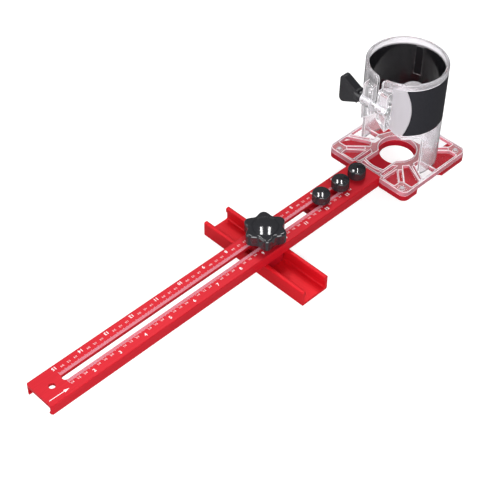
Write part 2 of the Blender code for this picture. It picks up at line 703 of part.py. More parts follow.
def make_base_screws():
    """Make the four screws that hold the clear base to the plate from below."""
    length = PLATE_THICKNESS + BASE_SCREW_GRIP
    for number, (x, y) in enumerate(base_screw_places(), 1):
        countersunk_screw(
            "base_screw_%d" % number, (x, y, ARM_BOTTOM_Z + CLEARANCE), BASE_SCREW_DIAMETER, BASE_SCREW_HEAD,
            BASE_SCREW_HEAD_DEPTH, length, collection=PARTS, material=STEEL,
        )


def on_circle(radius, y):
    """Return the distance along X at which a circle about the axis reaches y."""
    return math.sqrt(radius ** 2 - y ** 2)


def window_rib_x(x_at_ring, y):
    """Return how far in front of the axis a slanted window rib lies at a distance out."""
    return x_at_ring + (y - FLANGE_RING_RADIUS) * WINDOW_RIB_SLANT_SHARE


def flange_pockets():
    """Return the outlines of the pockets between the flange's ribs, in the base's own plan."""
    radius = FLANGE_POCKET_RADIUS
    end_wall = HALF_LENGTH - FLANGE_RIM
    side_wall = HALF_WIDTH - FLANGE_RIM
    seat_wall = end_wall - ARM_SEAT_DEPTH
    ring = FLANGE_RING_RADIUS
    diagonal = (TWIN_RIB_HALF_GAP + FLANGE_RIB) * math.sqrt(2)
    boss_line = BASE_SCREW_OFFSET - FLANGE_BOSS_RADIUS
    panel_side = SEAT_HALF_WIDTH + FLANGE_RIM
    channel_inner = CHIP_OPENING_HALF_WIDTH + CHIP_RIB
    channel_outer = panel_side - CHIP_RIB
    tip = ring_point_beside_diagonal(ring, TWIN_RIB_HALF_GAP + FLANGE_RIB)
    panel_start = WINDOW_RIB_INNER + FLANGE_RIB
    window_start = WINDOW_RIB_INNER - WINDOW_GROOVE - FLANGE_RIB
    rear_start = WINDOW_REAR_EDGE + FLANGE_RIB
    groove_y = ring + FLANGE_RIB
    groove_end = side_wall - FLANGE_RIB
    gap = TWIN_RIB_HALF_GAP / math.sqrt(2)
    near = TWIN_RIB_GAP_START / math.sqrt(2)
    far = boss_line + gap
    panels = [
        [
            (-panel_side - diagonal, panel_side, 0),
            (-end_wall, panel_side, radius),
            (-end_wall, boss_line, radius),
            (-boss_line - diagonal, boss_line, radius),
        ],
        [
            (-tip[1], tip[0], 0),
            (-boss_line, boss_line + diagonal, radius),
            (-boss_line, side_wall, radius),
            (-window_rib_x(panel_start, side_wall), side_wall, radius),
            (-panel_start, on_circle(ring, panel_start), 0),
        ],
        [
            (-on_circle(ring, channel_inner), channel_inner, 0),
            (-seat_wall, channel_inner, 0),
            (-seat_wall, channel_outer, 0),
            (-on_circle(ring, channel_outer), channel_outer, 0),
        ],
        [
            (-window_rib_x(WINDOW_RIB_INNER, groove_y), groove_y, 0),
            (-window_rib_x(WINDOW_RIB_INNER, groove_end), groove_end, 0),
            (-window_rib_x(WINDOW_RIB_INNER - WINDOW_GROOVE, groove_end), groove_end, 0),
            (-window_rib_x(WINDOW_RIB_INNER - WINDOW_GROOVE, groove_y), groove_y, 0),
        ],
        [
            (-window_start, on_circle(ring, window_start), 0),
            (-window_rib_x(window_start, side_wall), side_wall, radius),
            (WINDOW_REAR_EDGE, side_wall, radius),
            (WINDOW_REAR_EDGE, on_circle(ring, WINDOW_REAR_EDGE), 0),
        ],
        [
            (rear_start, on_circle(ring, rear_start), 0),
            (rear_start, side_wall, radius),
            (boss_line, side_wall, radius),
            (boss_line, boss_line + diagonal, radius),
            (tip[1], tip[0], 0),
        ],
        [
            (tip[0], tip[1], 0),
            (boss_line + diagonal, boss_line, radius),
            (end_wall, boss_line, radius),
            (end_wall, channel_inner, radius),
            (on_circle(ring, channel_inner), channel_inner, 0),
        ],
    ]
    twin = [(near + gap, near - gap), (far + gap, far - gap)]
    twin += [(y, x) for x, y in reversed(twin)]
    half = [rounded_loop(panel) for panel in panels]
    half += [twin, [(-x, y) for x, y in twin]]
    return [[(x, side * y) for x, y in loop] for loop in half for side in (-1, 1)]


def ring_point_beside_diagonal(radius, offset):
    """Return the point on a circle that lies a given distance to the +X side of the diagonal."""
    angle = math.pi / 4 - math.asin(offset / radius)
    return (radius * math.cos(angle), radius * math.sin(angle))


def chip_opening_loop():
    """Return the keyhole in the flange floor: the cutter hole and the open mouth in front of it."""
    half = CHIP_OPENING_HALF_WIDTH
    hole_angle = math.pi - math.asin(half / FLANGE_HOLE_RADIUS)
    mouth_angle = math.pi - math.asin(half / COLLAR_BORE_RADIUS)
    hole = arc_points(FLANGE_HOLE_RADIUS, -hole_angle, hole_angle)
    mouth = arc_points(COLLAR_BORE_RADIUS, mouth_angle, math.tau - mouth_angle)
    return hole + mouth


def front_pocket_loop():
    """Return the pocket between the collar's foot and the front rim."""
    half = CHIP_OPENING_HALF_WIDTH
    wall = HALF_LENGTH - ARM_SEAT_DEPTH - FLANGE_RIM
    angle = math.pi - math.asin(half / COLLAR_OUTER_RADIUS)
    foot = arc_points(COLLAR_OUTER_RADIUS, angle, math.tau - angle)
    return foot + [(-wall, -half), (-wall, half)]


def sector_loop(half_angle, inner, outer, centre_angle=math.pi):
    """Return an outline between two radii and two angles about the base's axis."""
    outside = arc_points(outer, centre_angle - half_angle, centre_angle + half_angle)
    inside = arc_points(inner, centre_angle + half_angle, centre_angle - half_angle)
    return outside + inside


def barrel_loop(growth):
    """Return the outline, seen along the arm, of the gap between the sleeve's ends."""
    low = ARM_TOP_Z + SLEEVE_BOTTOM_RISE
    high = ARM_TOP_Z + SLEEVE_TOP_RISE
    middle = (low + high) / 2
    half_height = (high - low) / 2
    radius = (half_height ** 2 + SLEEVE_NOTCH_DEPTH ** 2) / (2 * SLEEVE_NOTCH_DEPTH)
    span = math.asin(half_height / radius)
    side = []
    steps = 12
    for step in range(steps + 1):
        angle = span * (2 * step / steps - 1)
        out = SLEEVE_END_HALF_WIDTH + SLEEVE_NOTCH_DEPTH - radius * (1 - math.cos(angle))
        side.append((out + growth, middle + radius * math.sin(angle)))
    side.insert(0, (side[0][0], low - CUT_OVERRUN))
    side.append((side[-1][0], high + CUT_OVERRUN))
    return side + [(-x, z) for x, z in reversed(side)]


def front_prism(name, loop):
    """Return a cutter that runs from the base's axis out through its front."""
    depth = HALF_LENGTH + CUT_OVERRUN
    return flat_solid(name, [loop], depth, ACROSS_ARM, (BASE_X - depth, 0, 0))


def window_edge():
    """Return the front window's upper edge as (angle from the front, rise) pairs, side to side."""
    corner_angle = ARCH_CORNER_RADIUS / COLLAR_OUTER_RADIUS
    split_angle = math.asin(SPLIT_WIDTH / 2 / COLLAR_OUTER_RADIUS)
    foot_angle = math.asin(SPLIT_FOOT_HALF_WIDTH / COLLAR_OUTER_RADIUS)
    side = []
    corner_steps = 5
    for step in range(corner_steps + 1):
        angle = math.pi / 2 * step / corner_steps
        drop = ARCH_CORNER_RADIUS * (1 - math.sin(angle))
        side.append((ARCH_HALF_ANGLE - corner_angle * (1 - math.cos(angle)), ARCH_TOP_RISE - drop))
    slope_steps = 5
    for step in range(slope_steps + 1):
        share = step / slope_steps
        angle = foot_angle + (split_angle - foot_angle) * share
        side.append((angle, ARCH_TOP_RISE + (SPLIT_PEAK_RISE - ARCH_TOP_RISE) * share))
    return side + [(-angle, rise) for angle, rise in reversed(side)]


def make_window_cutter():
    """Return the curved cutter for the open front, lofted between the base's floor and the window's edge."""
    inner = COLLAR_BORE_RADIUS - CUT_OVERRUN
    outer = COLLAR_OUTER_RADIUS + CUT_OVERRUN
    bottom = FLANGE_BOTTOM_Z - CUT_OVERRUN
    mesh = bpy.data.meshes.new("front_window_cut")
    shape = bmesh.new()
    rings = []
    for angle, rise in window_edge():
        across = Vector((-math.cos(angle), math.sin(angle), 0))
        top = ARM_TOP_Z + rise
        corners = ((inner, bottom), (outer, bottom), (outer, top), (inner, top))
        rings.append([shape.verts.new(across * radius + Vector((BASE_X, 0, z))) for radius, z in corners])
    for ring, following in zip(rings, rings[1:]):
        for index in range(len(ring)):
            after = (index + 1) % len(ring)
            shape.faces.new((ring[index], ring[after], following[after], following[index]))
    shape.faces.new(rings[0])
    shape.faces.new(rings[-1])
    shape.to_mesh(mesh)
    shape.free()
    weld_and_face_out(mesh)
    return link(bpy.data.objects.new(mesh.name, mesh), CUTTERS)


def make_router_base():
    """Make the clear base: ribbed flange, open-fronted collar, split and clamp ears."""
    place = (BASE_X, 0, 0)
    wall_bottom = FLANGE_BOTTOM_Z + FLANGE_FLOOR / 2
    edge = COLLAR_EDGE_RADIUS
    base = turned_solid("router_base", [
        (COLLAR_BORE_RADIUS + edge, COLLAR_TOP_Z),
        (COLLAR_OUTER_RADIUS - edge, COLLAR_TOP_Z),
        (COLLAR_OUTER_RADIUS, COLLAR_TOP_Z - edge),
        (COLLAR_OUTER_RADIUS, wall_bottom),
        (COLLAR_BORE_RADIUS, wall_bottom),
        (COLLAR_BORE_RADIUS, COLLAR_TOP_Z - edge),
    ], place, PARTS, CLEAR_PLASTIC, COLLAR_STEPS)
    half_split = SPLIT_WIDTH / 2
    flare_half = half_split + SPLIT_TOP_RADIUS * 2
    flare_z = COLLAR_TOP_Z + CLEARANCE
    split_loop = rounded_loop(mirrored_corners([
        (flare_half, COLLAR_TOP_Z + CUT_OVERRUN, 0),
        (flare_half, flare_z, 0),
        (half_split, flare_z, SPLIT_TOP_RADIUS),
        (half_split, ARM_TOP_Z + ARCH_TOP_RISE, 0),
    ]))
    combine(base, front_prism("split_cut", split_loop))
    combine(base, make_rim_tab(), "UNION")
    combine(base, make_window_cutter())
    combine(base, make_sleeve_recess())

    inner = COLLAR_BORE_RADIUS - CUT_OVERRUN
    key_centre = (KEYWAY_START_ANGLE + KEYWAY_END_ANGLE) / 2
    key_half = (KEYWAY_END_ANGLE - KEYWAY_START_ANGLE) / 2
    keyway = flat_solid(
        "keyway_cut", [sector_loop(key_half, inner, SLEEVE_INNER_RADIUS, key_centre)],
        KEYWAY_TOP_RISE - KEYWAY_BOTTOM_RISE, IN_PLAN, (BASE_X, 0, ARM_TOP_Z + KEYWAY_BOTTOM_RISE),
    )
    combine(base, keyway)

    for side in (-1, 1):
        combine(base, make_ear(side), "UNION")

    outline = rounded_loop(mirror_heights([
        (ARM_SEAT_DEPTH - HALF_LENGTH, SEAT_HALF_WIDTH, 0),
        (-HALF_LENGTH, SEAT_HALF_WIDTH, 0),
        (-HALF_LENGTH, HALF_WIDTH, PLATE_CORNER_RADIUS),
        (HALF_LENGTH, HALF_WIDTH, PLATE_CORNER_RADIUS),
    ]))
    floor_place = (BASE_X, 0, FLANGE_BOTTOM_Z)
    flange = flat_solid("flange_join", [outline, chip_opening_loop()], FLANGE_HEIGHT, IN_PLAN, floor_place)
    pocket_loops = flange_pockets() + [front_pocket_loop()]
    pocket_depth = FLANGE_HEIGHT - FLANGE_FLOOR + CUT_OVERRUN
    floor = (BASE_X, 0, FLANGE_FLOOR_Z)
    pockets = flat_solid("flange_pocket_cut", pocket_loops, pocket_depth, IN_PLAN, floor)
    combine(flange, pockets)
    combine(base, flange, "UNION")

    hole_radius = BASE_SCREW_DIAMETER / 2 + CLEARANCE
    hole_low = FLANGE_BOTTOM_Z - CUT_OVERRUN
    hole_top = FLANGE_BOTTOM_Z + BASE_SCREW_GRIP + CLEARANCE
    for number, (x, y) in enumerate(base_screw_places(), 1):
        name = "boss_hole_cut_%d" % number
        combine(base, rod(name, hole_radius, hole_low, hole_top, (x, y, 0), steps=SMALL_ROUND_STEPS))
    reach = EAR_REACH + CUT_OVERRUN
    combine(base, clamp_rod("clamp_hole_cut", CLAMP_HOLE_RADIUS, -reach, reach))
    pocket_flats = NUT_ACROSS_FLATS / 2 + CLEARANCE
    pocket_length = NUT_POCKET_DEPTH + CUT_OVERRUN
    combine(base, nut_solid("nut_pocket_cut", pocket_flats, pocket_length, NUT_POCKET_DEPTH - EAR_REACH))
    shade_round(base)
    return base


def make_rim_tab():
    """Return the low raised lens on the collar's rim, beside the split."""
    across = Vector((-math.sin(RIM_TAB_ANGLE), math.cos(RIM_TAB_ANGLE), 0))
    outward = Vector((math.cos(RIM_TAB_ANGLE), math.sin(RIM_TAB_ANGLE), 0))
    axes = Matrix((across, Vector((0, 0, 1)), outward)).transposed()
    radius = (RIM_TAB_HALF_WIDTH ** 2 + RIM_TAB_HEIGHT ** 2) / (2 * RIM_TAB_HEIGHT)
    span = math.asin(RIM_TAB_HALF_WIDTH / radius)
    arc = arc_points(radius, math.pi / 2 - span, math.pi / 2 + span)
    lens = [(x, y + RIM_TAB_HEIGHT - radius) for x, y in arc]
    foot = [(-RIM_TAB_HALF_WIDTH, -RIM_TAB_HEIGHT), (RIM_TAB_HALF_WIDTH, -RIM_TAB_HEIGHT)]
    place = Vector((BASE_X, 0, COLLAR_TOP_Z)) + outward * (COLLAR_BORE_RADIUS - CUT_OVERRUN)
    tab = flat_solid("rim_tab_join", [lens + foot], CUT_OVERRUN * 3, axes, place)
    inner = COLLAR_BORE_RADIUS + RIM_TAB_INSET
    outer = COLLAR_OUTER_RADIUS - RIM_TAB_INSET
    low = COLLAR_TOP_Z - RIM_TAB_HEIGHT * 2
    high = COLLAR_TOP_Z + RIM_TAB_HEIGHT * 2
    profile = [(inner, high), (outer, high), (outer, low), (inner, low)]
    band = turned_solid("rim_tab_band", profile, (BASE_X, 0, 0), steps=COLLAR_STEPS)
    return combine(tab, band, "INTERSECT")


def make_ear(side):
    """Return the clamp ear on one side of the split, trimmed to start inside the collar's wall."""
    root = CLAMP_AXIS_OFFSET - COLLAR_OUTER_RADIUS + EAR_ROOT_DEPTH
    top = EAR_TOP_RISE - CLAMP_AXIS_RISE
    foot = ARCH_TOP_RISE - CLAMP_AXIS_RISE
    boss_angle = math.pi - math.acos(EAR_FRONT_REACH / EAR_BOSS_RADIUS)
    boss = arc_points(EAR_BOSS_RADIUS, boss_angle, math.tau - boss_angle)
    loop = rounded_loop([(root, foot, 0), (root, top, 0), (-EAR_FRONT_REACH, top, EAR_CORNER_RADIUS)]
                        + [(x, z, 0) for x, z in boss] + [(-EAR_FRONT_REACH, foot, 0)])
    face = SPLIT_WIDTH / 2 + CLEARANCE
    outer_face = EAR_REACH if side > 0 else -face
    name = "far_ear" if side > 0 else "near_ear"
    ear = flat_solid(name + "_join", [loop], EAR_REACH - face, ALONG_ARM, (CLAMP_X, outer_face, CLAMP_Z))
    slope = EAR_FOOT_SLANT / (EAR_REACH - face)
    middle_rise = EAR_SIDE_FOOT_RISE + EAR_FOOT_SLANT + slope * face
    side_rise = EAR_SIDE_FOOT_RISE - slope * CUT_OVERRUN
    foot_loop = [
        (0, ARM_TOP_Z),
        (side * (EAR_REACH + CUT_OVERRUN), ARM_TOP_Z),
        (side * (EAR_REACH + CUT_OVERRUN), ARM_TOP_Z + side_rise),
        (0, ARM_TOP_Z + middle_rise),
    ]
    combine(ear, front_prism(name + "_foot_cut", foot_loop))
    middle = (COLLAR_BORE_RADIUS + SLEEVE_INNER_RADIUS) / 2
    low = CLAMP_Z - HALF_LENGTH
    high = CLAMP_Z + HALF_LENGTH
    return combine(ear, rod(name + "_trim", middle, low, high, (BASE_X, 0, 0), steps=COLLAR_STEPS))


def make_sleeve_recess():
    """Return the band cut from the collar's outside where the sleeve lies."""
    low = ARM_TOP_Z + SLEEVE_BOTTOM_RISE - CLEARANCE
    high = ARM_TOP_Z + SLEEVE_TOP_RISE + CLEARANCE
    inner = SLEEVE_INNER_RADIUS - CLEARANCE
    outer = COLLAR_OUTER_RADIUS + CUT_OVERRUN
    profile = [(inner, high), (outer, high), (outer, low), (inner, low)]
    recess = turned_solid("sleeve_recess_cut", profile, (BASE_X, 0, 0), steps=COLLAR_STEPS)
    combine(recess, front_prism("recess_end_cut", barrel_loop(-CLEARANCE)))
    return recess


def make_grip_sleeve():
    """Make the rubber sleeve round the collar, with hollowed ends beside the clamp."""
    low = ARM_TOP_Z + SLEEVE_BOTTOM_RISE
    high = ARM_TOP_Z + SLEEVE_TOP_RISE
    inner = SLEEVE_INNER_RADIUS
    outer = COLLAR_OUTER_RADIUS
    edge = SLEEVE_EDGE_RADIUS
    profile = [
        (inner, high),
        (outer - edge, high),
        (outer, high - edge),
        (outer, low + edge),
        (outer - edge, low),
        (inner, low),
    ]
    sleeve = turned_solid("grip_sleeve", profile, (BASE_X, 0, 0), PARTS, BLACK_RUBBER, COLLAR_STEPS)
    combine(sleeve, front_prism("sleeve_end_cut", barrel_loop(0)))
    shade_round(sleeve)
    return sleeve


def clamp_rod(name, radius, start_y, end_y, chamfer=0.0, **options):
    """Return a rod along the clamp's axis between two places across the arm."""
    options.setdefault("steps", SMALL_ROUND_STEPS)
    along_y = Matrix.Rotation(-math.pi / 2, 3, "X")
    return rod(name, radius, start_y, end_y, (CLAMP_X, 0, CLAMP_Z), chamfer, turn=along_y, **options)


def nut_solid(name, half_flats, thickness, top_y, collection=None, material=None):
    """Return a hexagon across the clamp's axis that ends at a place and runs towards -Y."""
    radius = half_flats / math.cos(math.pi / 6)
    corners = [math.pi / 3 * side for side in range(6)]
    loop = [(radius * math.cos(turn), radius * math.sin(turn)) for turn in corners]
    return flat_solid(name, [loop], thickness, ALONG_ARM, (CLAMP_X, top_y, CLAMP_Z), collection, material)


def make_clamp():
    """Make the clamp's screw, nut, washer and wing knob."""
    nut_top = NUT_POCKET_DEPTH - EAR_REACH - CLEARANCE
    nut = nut_solid("clamp_nut", NUT_ACROSS_FLATS / 2, NUT_THICKNESS, nut_top, PARTS, STEEL)
    bore_start = -EAR_REACH - NUT_THICKNESS - CUT_OVERRUN
    combine(nut, clamp_rod("nut_bore_cut", CLAMP_HOLE_RADIUS, bore_start, 0))
    washer_start = EAR_REACH + CLEARANCE
    washer_end = washer_start + WING_WASHER_THICKNESS
    washer = clamp_rod(
        "clamp_washer", WING_WASHER_DIAMETER / 2, washer_start, washer_end, collection=PARTS, material=STEEL,
    )
    bore_end = washer_end + CUT_OVERRUN
    combine(washer, clamp_rod("washer_bore_cut", CLAMP_HOLE_RADIUS, EAR_REACH - CUT_OVERRUN, bore_end))
    wing_start = washer_end + CLEARANCE
    screw_end = wing_start + WING_SCREW_SEAT
    screw = clamp_rod(
        "clamp_screw", CLAMP_SCREW_DIAMETER / 2, -CLAMP_SCREW_TIP_REACH, screw_end, STUD_TIP_CHAMFER,
        collection=PARTS, material=STEEL,
    )
    shade_round(screw)
    make_wing_knob(wing_start, screw_end)


def make_wing_knob(start, screw_end):
    """Make the flared wing knob from its hub outward."""
    end = start + WING_LENGTH
    radius = WING_CORNER_RADIUS
    neck_start = start + WING_HUB_LENGTH / 2
    loop = rounded_loop(mirror_heights([
        (neck_start, WING_NECK_HALF_HEIGHT, radius / 2),
        (start + WING_HUB_LENGTH, WING_NECK_HALF_HEIGHT, radius),
        (end, WING_TIP_HALF_HEIGHT, radius),
    ]))
    place = (CLAMP_X - WING_THICKNESS / 2, 0, CLAMP_Z)
    wing = flat_solid("wing_knob", [loop], WING_THICKNESS, ACROSS_ARM, place, PARTS, BLACK_PLASTIC)
    set_origin(wing, (CLAMP_X, start, CLAMP_Z))
    add_bevel(wing, WING_EDGE_BEVEL, 3)
    hub = clamp_rod("wing_hub_join", WING_HUB_RADIUS, start, start + WING_HUB_LENGTH * 1.5, steps=ROUND_STEPS)
    combine(wing, hub, "UNION")
    for name, side in (("front", -1), ("rear", 1)):
        reach = WING_THICKNESS / 2 + WING_DISH_RADIUS - WING_DISH_DEPTH
        mesh = bpy.data.meshes.new("wing_dish_%s_cut" % name)
        shape = bmesh.new()
        bmesh.ops.create_uvsphere(shape, u_segments=48, v_segments=24, radius=WING_DISH_RADIUS)
        shape.to_mesh(mesh)
        shape.free()
        dish = link(bpy.data.objects.new(mesh.name, mesh), CUTTERS)
        dish.location = (CLAMP_X + side * reach, start + WING_DISH_PLACE, CLAMP_Z)
        combine(wing, dish)
    combine(wing, clamp_rod("wing_seat_cut", CLAMP_HOLE_RADIUS, start - CUT_OVERRUN, screw_end + CLEARANCE))
    shade_round(wing)


def mirror_heights(corners):
    """Complete an outline from its upper side, which is listed along X."""
    return corners + [(x, -y, radius) for x, y, radius in reversed(corners)]


make_rail_arm()
make_fence()
make_guide_block()
make_fence_screws()
make_star_knob()
make_round_knobs()
make_base_plate()
make_base_screws()
make_router_base()
make_grip_sleeve()
make_clamp()
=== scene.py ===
# %% [markdown]
# # A router circle cutting jig
# The jig is a red anodised arm with a printed inch scale. A cross fence slides under it, three round
# knobs hold it to a square plate, and a clear collar on that plate grips a trim router.
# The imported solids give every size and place. This notebook dresses them: it copies each solid, breaks
# its edges and gives it a finish, and it makes the knobs, threads, screws and print in finer shapes.

# %% Load the frame
import math

import bmesh
import bpy
from mathutils import Matrix, Vector


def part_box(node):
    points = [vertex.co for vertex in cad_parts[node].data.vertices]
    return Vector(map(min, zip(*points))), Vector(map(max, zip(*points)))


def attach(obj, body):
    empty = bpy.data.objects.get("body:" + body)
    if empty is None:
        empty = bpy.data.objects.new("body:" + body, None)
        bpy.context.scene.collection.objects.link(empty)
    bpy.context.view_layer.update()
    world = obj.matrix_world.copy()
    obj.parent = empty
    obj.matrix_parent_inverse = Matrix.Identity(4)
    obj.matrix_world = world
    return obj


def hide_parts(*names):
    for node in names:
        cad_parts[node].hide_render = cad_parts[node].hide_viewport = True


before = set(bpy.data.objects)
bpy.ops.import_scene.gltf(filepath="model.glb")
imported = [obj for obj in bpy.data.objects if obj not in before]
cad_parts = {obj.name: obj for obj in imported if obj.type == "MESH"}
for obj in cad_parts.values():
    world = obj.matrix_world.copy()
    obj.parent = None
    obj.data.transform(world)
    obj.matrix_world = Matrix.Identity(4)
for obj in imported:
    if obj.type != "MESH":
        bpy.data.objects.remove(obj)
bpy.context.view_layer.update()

# %% [markdown]
# ## The camera
# The photograph was taken from the front left, well above the arm, with a long lens. The place and the
# lens were solved from about thirty points on the arm, the fence and the collar. The camera is set from
# its own three axes, which is clearer than angles when the view also has a small roll.

# %% Place the camera
VIEW_AZIMUTH = 0.784
VIEW_DIP = 0.772
VIEW_ROLL = 0.011
CAMERA_PLACE = (-0.54110, -0.52672, 0.76836)
LENS_LENGTH = 97.37

forward = Vector((
    math.cos(VIEW_DIP) * math.sin(VIEW_AZIMUTH),
    math.cos(VIEW_DIP) * math.cos(VIEW_AZIMUTH),
    -math.sin(VIEW_DIP),
))
level = forward.cross(Vector((0, 0, 1))).normalized()
upward = level.cross(forward)
right = level * math.cos(VIEW_ROLL) + upward * math.sin(VIEW_ROLL)
top = upward * math.cos(VIEW_ROLL) - level * math.sin(VIEW_ROLL)

camera_data = bpy.data.cameras.new("studio_camera")
camera_data.sensor_width = 36
camera_data.lens = LENS_LENGTH
camera = bpy.data.objects.new("studio_camera", camera_data)
bpy.context.scene.collection.objects.link(camera)
camera.matrix_world = Matrix.Translation(CAMERA_PLACE) @ Matrix((right, top, -forward)).transposed().to_4x4()
bpy.context.scene.camera = camera
bpy.context.scene.view_settings.view_transform = "Standard"
print("camera looks along", [round(value, 3) for value in forward])

# %% [markdown]
# ## The studio
# The picture has a white ground and almost no shadow. World and floor tell sorts of rays apart: rays
# from the camera and rays through the clear plastic see white, reflections see a greyer room, so that
# black plastic stays black, and the light on the jig itself is a plain soft level.

# %% White world and floor
AMBIENT_LEVEL = 0.40
ROOM_LEVEL = 0.15
CAUGHT_LEVEL = 0.5
SIGHT_LEVEL = 1.0
FLOOR_GLOW = 0.75
FLOOR_HALF = 4.0
FLOOR_DROP = 0.0005
PAPER_TONE = 0.5
MIRRORED_PAPER_TONE = 0.3
PAPER_ROUGHNESS = 0.9
WHITE = (1, 1, 1, 1)


def wire(tree, start, out, end, into):
    """Join one node's output to another node's input."""
    tree.links.new(start.outputs[out], end.inputs[into])


def maths(tree, operation, first, second):
    """Return a math node fed by nodes' outputs or numbers."""
    node = tree.nodes.new("ShaderNodeMath")
    node.operation = operation
    for index, value in enumerate((first, second)):
        if isinstance(value, (int, float)):
            node.inputs[index].default_value = value
        else:
            tree.links.new(value, node.inputs[index])
    return node.outputs["Value"]


def pick(tree, chooser, low, high):
    """Return a node that gives one level, or a second where a ray property is on."""
    choice = tree.nodes.new("ShaderNodeMapRange")
    tree.links.new(chooser, choice.inputs["Value"])
    for label, value in (("To Min", low), ("To Max", high)):
        if isinstance(value, (int, float)):
            choice.inputs[label].default_value = value
        else:
            wire(tree, value, "Result", choice, label)
    return choice


def level_for_rays(tree, plain, shiny, caught, seen):
    """Return a node with a level each for light, for mirrored rays, for sight and for mirrored sight."""
    path = tree.nodes.new("ShaderNodeLightPath")
    sight = maths(tree, "MAXIMUM", path.outputs["Is Camera Ray"], path.outputs["Is Transmission Ray"])
    reflected = pick(tree, path.outputs["Is Glossy Ray"], plain, shiny)
    through = pick(tree, path.outputs["Glossy Depth"], seen, caught)
    through = pick(tree, path.outputs["Diffuse Depth"], through, plain)
    return pick(tree, sight, reflected, through)


world = bpy.data.worlds.new("white_studio")
world.use_nodes = True
bpy.context.scene.world = world
tree = world.node_tree
tree.nodes.clear()
background = tree.nodes.new("ShaderNodeBackground")
background.inputs["Color"].default_value = WHITE
sky = level_for_rays(tree, AMBIENT_LEVEL, ROOM_LEVEL, CAUGHT_LEVEL, SIGHT_LEVEL)
wire(tree, sky, "Result", background, "Strength")
wire(tree, background, "Background", tree.nodes.new("ShaderNodeOutputWorld"), "Surface")

floor_mesh = bpy.data.meshes.new("studio_floor")
corners = [(x * FLOOR_HALF, y * FLOOR_HALF, 0) for x, y in ((-1, -1), (1, -1), (1, 1), (-1, 1))]
floor_mesh.from_pydata(corners, [], [(0, 1, 2, 3)])
floor = bpy.data.objects.new("studio_floor", floor_mesh)
floor.location.z = -FLOOR_DROP
bpy.context.scene.collection.objects.link(floor)
paper = bpy.data.materials.new("white_paper")
paper.use_nodes = True
tree = paper.node_tree
paper_shader = tree.nodes["Principled BSDF"]
paper_path = tree.nodes.new("ShaderNodeLightPath")
tone = pick(tree, paper_path.outputs["Glossy Depth"], PAPER_TONE, MIRRORED_PAPER_TONE)
wire(tree, tone, "Result", paper_shader, "Base Color")
paper_shader.inputs["Roughness"].default_value = PAPER_ROUGHNESS
paper_shader.inputs["Specular IOR Level"].default_value = 0.0
paper_shader.inputs["Emission Color"].default_value = WHITE
glow = level_for_rays(tree, 0.0, 0.0, CAUGHT_LEVEL, FLOOR_GLOW)
wire(tree, glow, "Result", paper_shader, "Emission Strength")
floor_mesh.materials.append(paper)
print("ground:", world.name, "and", floor.name)

# %% [markdown]
# ## The lamps
# The two upright bars on each black knob are the reflections of two tall soft boxes. Their length and
# spacing on the domes give the boxes' size and place: well above the mirrored line of sight, behind
# the jig. They light the tops. Two wide lamps stand off the arm's free end: a key lamp on the near
# side lights the faces that the camera sees, and a weaker fill lamp on the far side opens the shadow
# in the fence.

# %% Hang the lamps
TARGET = Vector((0.05, 0.0, 0.03))
BOX_DISTANCE = 1.5
BOX_RISE = math.radians(62)
BOX_OFFSET = 0.20
BOX_WIDTH = 0.09
BOX_HEIGHT = 0.56
BOX_POWER = 4.0
WIDE_LAMPS = (
    ("key_lamp", Vector((-0.50, -0.62, 0.34)), 0.7, 8.5),
    ("fill_lamp", Vector((-0.55, 0.40, 0.35)), 0.6, 2.5),
)


def hang_lamp(name, place, facing, width, height, power):
    """Add a soft box at a place around the jig, with its back to a direction."""
    data = bpy.data.lights.new(name, "AREA")
    data.shape = "RECTANGLE"
    data.size = width
    data.size_y = height
    data.energy = power
    lamp = bpy.data.objects.new(name, data)
    bpy.context.scene.collection.objects.link(lamp)
    turn = facing.to_track_quat("Z", "Y").to_matrix().to_4x4()
    lamp.matrix_world = Matrix.Translation(TARGET + place) @ turn
    return lamp


ahead = Vector((forward.x, forward.y, 0)).normalized()
middle = (ahead * math.cos(BOX_RISE) + Vector((0, 0, math.sin(BOX_RISE)))) * BOX_DISTANCE
for name, side in (("soft_box_left", -BOX_OFFSET), ("soft_box_right", BOX_OFFSET)):
    hang_lamp(name, middle + level * side, middle, BOX_WIDTH, BOX_HEIGHT, BOX_POWER)
for name, stand, size, power in WIDE_LAMPS:
    hang_lamp(name, stand, stand, size, size, power)
print("lamps:", [lamp.name for lamp in bpy.data.lights])

# %% [markdown]
# ## Finishes
# Anodised extrusions keep fine lines along the way they were drawn, moulded plastic has a faint orange
# peel, and rubber a fine grain. One node group makes all of them: noise on object coordinates,
# stretched as each finish needs it, gives a mask for the colour and a bump for the light.

# %% A grain group
def new_group(name, inputs, outputs):
    """Start a shader node group with named inputs and outputs."""
    group = bpy.data.node_groups.new(name, "ShaderNodeTree")
    for label, kind, value in inputs:
        socket = group.interface.new_socket(label, in_out="INPUT", socket_type=kind)
        socket.default_value = value
    for label, kind in outputs:
        group.interface.new_socket(label, in_out="OUTPUT", socket_type=kind)
    return group, group.nodes.new("NodeGroupInput"), group.nodes.new("NodeGroupOutput")


GRAIN_DETAIL = 3
grain, grain_in, grain_out = new_group(
    "surface_grain",
    [
        ("Scale", "NodeSocketFloat", 1000), ("Stretch", "NodeSocketVector", (1, 1, 1)),
        ("Depth", "NodeSocketFloat", 0.00002),
    ],
    [("Mask", "NodeSocketFloat"), ("Normal", "NodeSocketVector")],
)
place = grain.nodes.new("ShaderNodeTexCoord")
stretch = grain.nodes.new("ShaderNodeMapping")
noise = grain.nodes.new("ShaderNodeTexNoise")
noise.inputs["Detail"].default_value = GRAIN_DETAIL
bump = grain.nodes.new("ShaderNodeBump")
bump.inputs["Strength"].default_value = 1.0
wire(grain, place, "Object", stretch, "Vector")
wire(grain, grain_in, "Stretch", stretch, "Scale")
wire(grain, stretch, "Vector", noise, "Vector")
wire(grain, grain_in, "Scale", noise, "Scale")
wire(grain, noise, "Fac", bump, "Height")
wire(grain, grain_in, "Depth", bump, "Distance")
